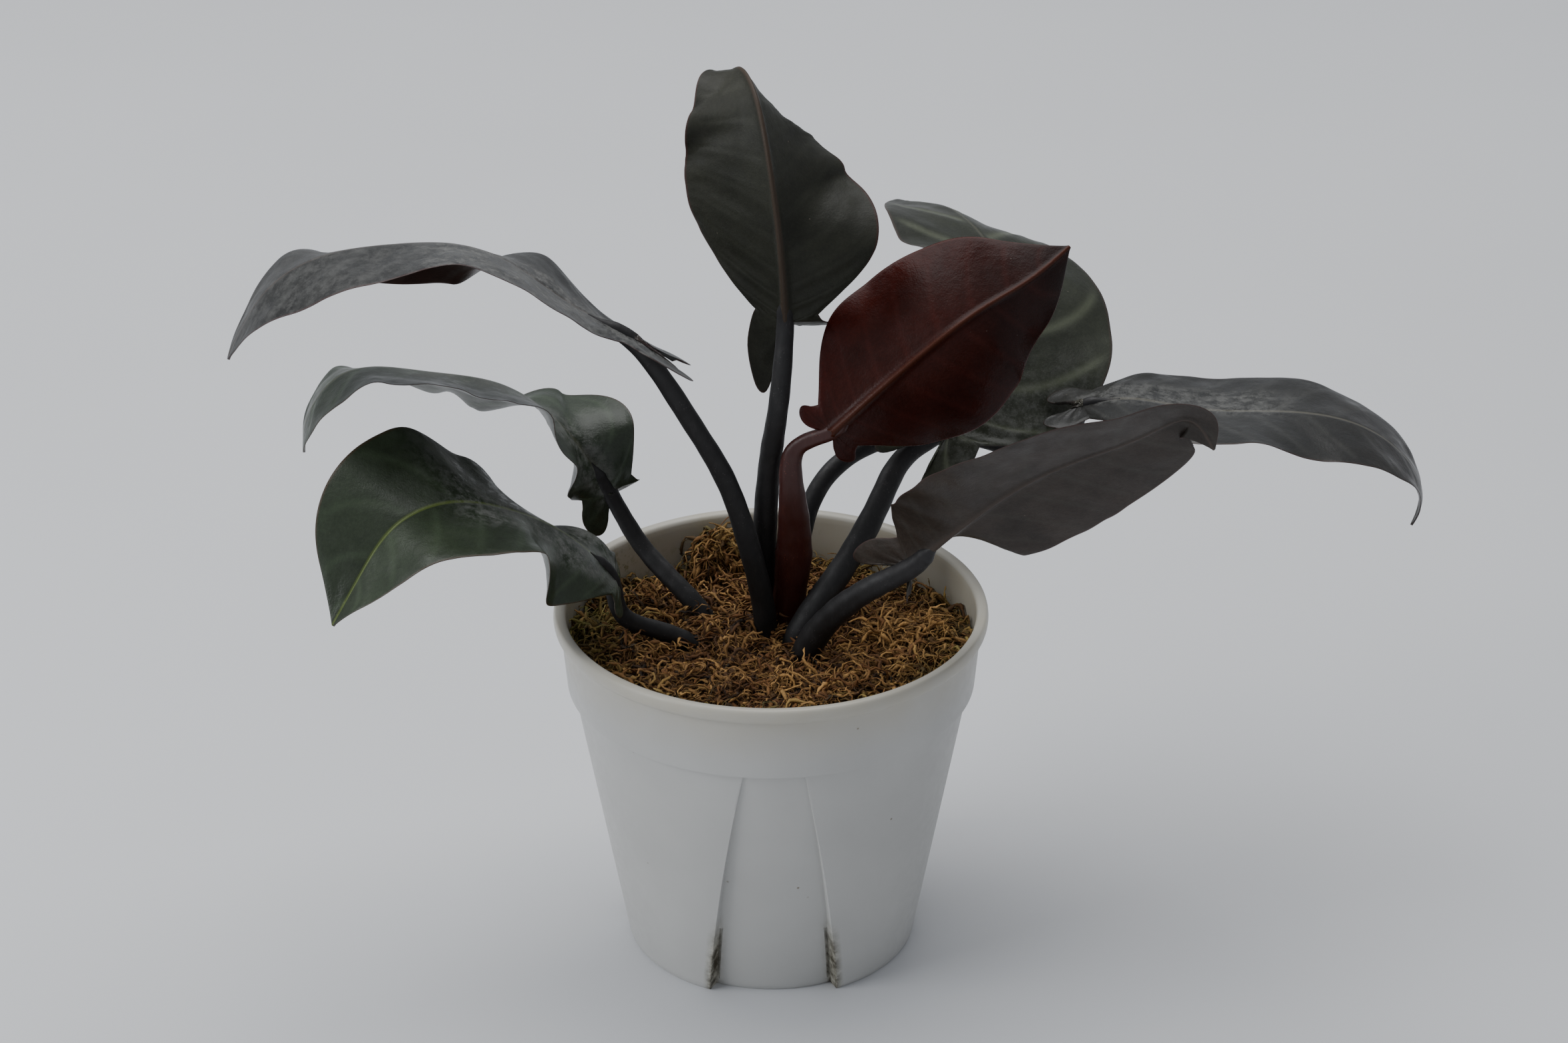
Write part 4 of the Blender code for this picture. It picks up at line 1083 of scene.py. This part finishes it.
def leaf_skin(name, look):
    """Leathery leaf: two faces, paler veins and midrib, mottling, a coloured rim, and dust with a painted sheen on
    the upper face.
    """
    n = Nodes(name)
    place = n.place()
    upper = n.attribute("upper")
    mottle = n.ramp(n.noise(place, 60, 4, 0.6), (0.30, 0.72), (0.70, 1.30))
    fine = n.ramp(n.noise(place, 900, 3, 0.6), (0.30, 0.86), (0.70, 1.16))
    colour = n.mix(upper, look["under"], look["upper"])
    edge = n.ramp(n.attribute("side"), (0.03, 0.9), (0.26, 0.0))
    colour = n.mix(edge, colour, look["flush"])
    colour = n.mix(n.ramp(n.attribute("run"), (0.50, 0.0), (0.95, 0.9)), colour, look["tip"])
    colour = n.mix(1.0, colour, mottle, "MULTIPLY")
    colour = n.mix(1.0, colour, fine, "MULTIPLY")
    paler = tuple(3.0 * c for c in look["upper"])
    vein = n.math("MULTIPLY", n.attribute("vein"), look["vein"])
    colour = n.mix(vein, colour, paler)
    rib = n.ramp(n.attribute("rib"), (0.35, 0.0), (0.85, 0.9))
    colour = n.mix(rib, colour, look["rib"])
    rim = n.ramp(n.attribute("rim"), (0.965, 0.0), (0.99, 0.8))
    colour = n.mix(rim, colour, look["rim"])
    dots = n.ramp(n.cells(place, 1100), (0.16, 1.0), (0.32, 0.0))
    powder = n.ramp(n.noise(place, 260, 5, 0.75), (0.42, 0.0), (0.64, 1.0))
    powder = n.math("ADD", powder, n.math("MULTIPLY", dots, 0.5), clamp=True)
    dust_and_sheen = n.math("MULTIPLY", n.attribute("dust_and_sheen"), powder)
    # Grey powder over the patches: real dust, which also stands in for a painted sheen of the overhead light.
    colour = n.mix(n.math("MULTIPLY", dust_and_sheen, 0.70), colour, (0.24, 0.24, 0.23))
    specks = n.ramp(n.cells(place, 240), (0.035, 1.0), (0.07, 0.0))
    some = n.ramp(n.noise(place, 90, 1), (0.60, 0.0), (0.64, 0.7))
    colour = n.mix(n.math("MULTIPLY", specks, some), colour, (0.13, 0.11, 0.09))
    gloss = look["gloss"]
    rough = n.ramp(n.noise(place, 130, 4, 0.6), (0.3, gloss - 0.05), (0.7, gloss + 0.12))
    rough = n.mix(dust_and_sheen, rough, (0.8, 0.8, 0.8))
    normal = n.bump(n.noise(place, 420, 4, 0.6), 0.22, 0.0006)
    normal = n.bump(n.cells(place, 1500), 0.10, 0.0003, normal)
    return n.finish(colour, rough, normal, look["shine"])


# ---------------------------------------------------------------- stage


SWEEP_FRONT = -2.5
SWEEP_START = 1.6
SWEEP_RADIUS = 1.2
SWEEP_HEIGHT = 4.0
SWEEP_REACH = 4.0
CAMERA_LENS = 91.64
CAMERA_PLACE = (0.0045, -1.2109, 0.7770)
CAMERA_TILT = math.radians(63.0)
SKY_COLOUR = (0.92, 0.95, 1.0, 1.0)


def make_sweep(pale):
    """The floor and backdrop in one sheet: flat, then a quarter turn up behind, then straight up."""
    turn = np.linspace(0, math.pi / 2, 24)
    top = SWEEP_START + SWEEP_RADIUS
    back = np.concatenate([[SWEEP_FRONT, SWEEP_START], SWEEP_START + SWEEP_RADIUS * np.sin(turn), [top]])
    rise = np.concatenate([[0.0, 0.0], SWEEP_RADIUS * (1 - np.cos(turn)), [SWEEP_HEIGHT]])
    across = np.linspace(-SWEEP_REACH, SWEEP_REACH, 9)
    rows, columns = len(back), len(across)
    grid = np.stack([np.broadcast_to(across, (rows, columns)), np.broadcast_to(back[:, None], (rows, columns)),
                     np.broadcast_to(rise[:, None], (rows, columns))], -1)
    row = np.arange(rows - 1)[:, None] * columns
    column = np.arange(columns - 1)[None, :]
    corners = [row + column, row + column + 1, row + column + columns + 1, row + column + columns]
    quads = np.stack(corners, -1).reshape(-1, 4)
    obj = make_mesh("sweep", grid.reshape(-1, 3), quads)
    n = Nodes("sweep_paper")
    place = n.place()
    shade = n.ramp(n.noise(place, 3, 3), (0.3, 0.96), (0.7, 1.0))
    colour = n.mix(1.0, pale, shade, "MULTIPLY")
    obj.data.materials.append(n.finish(colour, 0.9))


def add_area(name, size, place, target, power, colour):
    """A rectangular light at place, turned to face target."""
    light = bpy.data.lights.new(name, "AREA")
    light.shape = "RECTANGLE"
    light.size, light.size_y = size
    light.energy = power
    light.color = colour
    obj = bpy.data.objects.new(name, light)
    obj.location = place
    obj.rotation_euler = (Vector(target) - Vector(place)).to_track_quat("-Z", "Y").to_euler()
    bpy.context.scene.collection.objects.link(obj)


def add_camera():
    """The front view: raised, and looking down on the rim."""
    camera = bpy.data.objects.new("camera", bpy.data.cameras.new("camera"))
    camera.data.sensor_width = 36.0
    camera.data.lens = CAMERA_LENS
    camera.location = CAMERA_PLACE
    camera.rotation_euler = (CAMERA_TILT, 0.0, 0.0)
    bpy.context.scene.collection.objects.link(camera)
    bpy.context.scene.camera = camera


# ---------------------------------------------------------------- settings


def tint(name, description, default):
    """A colour setting."""
    return bpy.props.FloatVectorProperty(
        name=name, description=description, subtype="COLOR", size=3, min=0.0, max=1.0, default=default
    )


def power(name, description, default):
    """A light's strength."""
    return bpy.props.FloatProperty(name=name, description=description, default=default, min=0.0)


def length(name, description, default, most=0.1):
    """A length setting, in metres."""
    return bpy.props.FloatProperty(
        name=name, description=description, default=default, min=0.0, max=most, unit="LENGTH", precision=5
    )


class PotSettings(bpy.types.PropertyGroup):
    """Colours of the nursery pot."""

    white: tint("Plastic", "Colour of the clean plastic", (0.50, 0.50, 0.485))
    cream: tint("Aged plastic", "Colour of the rim and the inner wall", (0.47, 0.43, 0.33))


class MossSettings(bpy.types.PropertyGroup):
    """Strands and colours of the sphagnum bed."""

    batches: bpy.props.IntProperty(
        name="Batches", description="How many layers of strands lie on the bed", default=3, min=1, max=6
    )
    strands: bpy.props.IntProperty(
        name="Strands", description="Strands in each layer", default=2600, min=10, max=2900
    )
    width: length("Strand width", "Width of a common strand", 0.0013)
    # dark is the colour of the darkest strands, and also the painted shade in the bed's hollows.
    dark: tint("Wet moss", "Colour of the darkest strands and of the painted shade in the bed's hollows", (0.020, 0.011, 0.005))
    brown: tint("Brown moss", "Colour of most strands", (0.170, 0.066, 0.014))
    tan: tint("Straw moss", "Colour of the dry strands", (0.340, 0.185, 0.058))
    green: tint("Green moss", "Colour near the pot's wall", (0.230, 0.220, 0.050))


class StalkSettings(bpy.types.PropertyGroup):
    """Colours of the stem and the leaf stalks."""

    dark: tint("Stalk foot", "Colour of a stalk where it leaves the moss", (0.0045, 0.0043, 0.0046))
    grey: tint("Stalk top", "Colour of a stalk below its blade", (0.0095, 0.0085, 0.0095))
    red: tint("Young stalk", "Colour of the newest leaf's stalk", (0.042, 0.0075, 0.0055))


class BladeSettings(bpy.types.PropertyGroup):
    """Relief of the leaf blades."""

    thickness: length("Thickness", "Thickness of a blade", 0.0007, 0.002)
    vein_depth: length("Vein depth", "How far the side veins are sunk", 0.00035, 0.002)
    quilt: length("Quilting", "How far the blade bulges between its side veins", 0.0007, 0.004)
    rib_height: length("Midrib height", "How far the midrib stands out below", 0.0015, 0.004)
    rib_width: length("Midrib width", "Width of the midrib near the stalk", 0.0030, 0.01)


class StageSettings(bpy.types.PropertyGroup):
    """Floor and lights."""

    pale: tint("Floor", "Colour of the floor and backdrop", (0.66, 0.67, 0.69))
    key: power("Top light", "Power of the large light overhead", 36.0)
    side: power("Left light", "Power of the light at the left", 24.0)
    sky: power("Ambient light", "Strength of the surrounding light", 0.40)


# ---------------------------------------------------------------- operators


class PLANT_OT_pot(bpy.types.Operator):
    """Build the nursery pot"""

    bl_idname = "plant.pot"
    bl_label = "Pot"

    def execute(self, context):
        s = context.scene.plant_pot
        finish_piece(make_pot(), pot_plastic(tuple(s.white), tuple(s.cream)), "pot")
        return {"FINISHED"}


class PLANT_OT_moss(bpy.types.Operator):
    """Build the moss bed and its strands"""

    bl_idname = "plant.moss"
    bl_label = "Moss"

    def execute(self, context):
        s = context.scene.plant_moss
        dark, brown, tan, green = (tuple(c) for c in (s.dark, s.brown, s.tan, s.green))
        finish_piece(make_moss_bed(), moss_ground(dark, brown), "moss")
        fibre = moss_fibre(dark, brown, tan, green)
        wide = (0.5 * s.width, 1.25 * s.width)
        layers = [(f"moss_strands_{k + 1}", s.strands, 40 + k, (0.007, 0.017), wide, 1.1) for k in range(s.batches)]
        layers += [
            ("moss_hairs", s.strands, 71, (0.007, 0.015), (0.0003, 0.0007), 1.5),
            ("moss_tuft", TUFT_STRANDS, 83, (0.012, 0.022), wide, 2.3, MOSS_TUFT),
        ]
        for layer in layers:
            finish_piece(make_strands(*layer), fibre, "moss", stands_for_node=False)
        return {"FINISHED"}


class PLANT_OT_stalks(bpy.types.Operator):
    """Build the stem stub and the eight leaf stalks"""

    bl_idname = "plant.stalks"
    bl_label = "Stem and stalks"

    def execute(self, context):
        s = context.scene.plant_stalks
        dark, grey, red = tuple(s.dark), tuple(s.grey), tuple(s.red)
        skin = stalk_skin("stalk_skin", dark, grey, (0.022, 0.019, 0.020), 0.52)
        young = stalk_skin("young_stalk_skin", red, red, (0.070, 0.018, 0.012), 0.36)
        bark = stalk_skin("stem_bark", (0.016, 0.009, 0.007), dark, (0.030, 0.020, 0.015), 0.6)
        finish_piece(make_stem(), bark, "stem")
        for name, leaf in LEAVES.items():
            node = name.replace("leaf", "stalk")
            finish_piece(make_stalk(name, leaf), young if name == "leaf_red" else skin, node)
        return {"FINISHED"}


class PLANT_OT_blades(bpy.types.Operator):
    """Build the eight leaf blades"""

    bl_idname = "plant.blades"
    bl_label = "Blades"

    def execute(self, context):
        sizes = context.scene.plant_blades
        for name, leaf in LEAVES.items():
            look = LOOKS[name]
            finish_piece(make_blade(name, leaf, look, sizes), leaf_skin(name + "_skin", look), name)
        return {"FINISHED"}


class PLANT_OT_stage(bpy.types.Operator):
    """Build the floor, the lights and the camera"""

    bl_idname = "plant.stage"
    bl_label = "Stage"

    def execute(self, context):
        s = context.scene.plant_stage
        make_sweep(tuple(s.pale))
        world = bpy.data.worlds.new("soft_room")
        world.use_nodes = True
        background = world.node_tree.nodes["Background"]
        background.inputs["Color"].default_value = SKY_COLOUR
        background.inputs["Strength"].default_value = s.sky
        context.scene.world = world
        add_area("top_light", (2.2, 1.6), (-0.2, 0.5, 1.9), (0, 0, 0.1), s.key, (1.0, 1.0, 1.0))
        add_area("left_light", (1.2, 1.4), (-1.9, -0.7, 1.1), (0, 0, 0.12), s.side, (0.96, 0.98, 1.0))
        add_camera()
        return {"FINISHED"}


class PLANT_PT_panel(bpy.types.Panel):
    """The plant's settings and its pieces, one button each"""

    bl_label = "Potted Philodendron"
    bl_space_type = "VIEW_3D"
    bl_region_type = "UI"
    bl_category = "Plant"

    def draw(self, context):
        for group, operator in ROWS:
            box = self.layout.box()
            for prop in getattr(context.scene, group).bl_rna.properties:
                if prop.identifier not in ("rna_type", "name"):
                    box.prop(getattr(context.scene, group), prop.identifier)
            box.operator(operator)


ROWS = (
    ("plant_pot", "plant.pot"), ("plant_moss", "plant.moss"), ("plant_stalks", "plant.stalks"),
    ("plant_blades", "plant.blades"), ("plant_stage", "plant.stage"),
)
GROUPS = {
    "plant_pot": PotSettings, "plant_moss": MossSettings, "plant_stalks": StalkSettings,
    "plant_blades": BladeSettings, "plant_stage": StageSettings,
}
CLASSES = (
    *GROUPS.values(), PLANT_OT_pot, PLANT_OT_moss, PLANT_OT_stalks, PLANT_OT_blades, PLANT_OT_stage,
    PLANT_PT_panel,
)


def register():
    """Registers the classes and puts each group of settings on the scene."""
    for item in CLASSES:
        bpy.utils.register_class(item)
    for name, group in GROUPS.items():
        setattr(bpy.types.Scene, name, bpy.props.PointerProperty(type=group))


def unregister():
    """Takes the settings and the classes away again."""
    for name in GROUPS:
        delattr(bpy.types.Scene, name)
    for item in reversed(CLASSES):
        bpy.utils.unregister_class(item)


def main():
    register()
    bpy.ops.plant.stage()
    bpy.ops.plant.pot()
    bpy.ops.plant.moss()
    bpy.ops.plant.stalks()
    bpy.ops.plant.blades()
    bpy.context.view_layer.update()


if __name__ == "__main__":
    main()
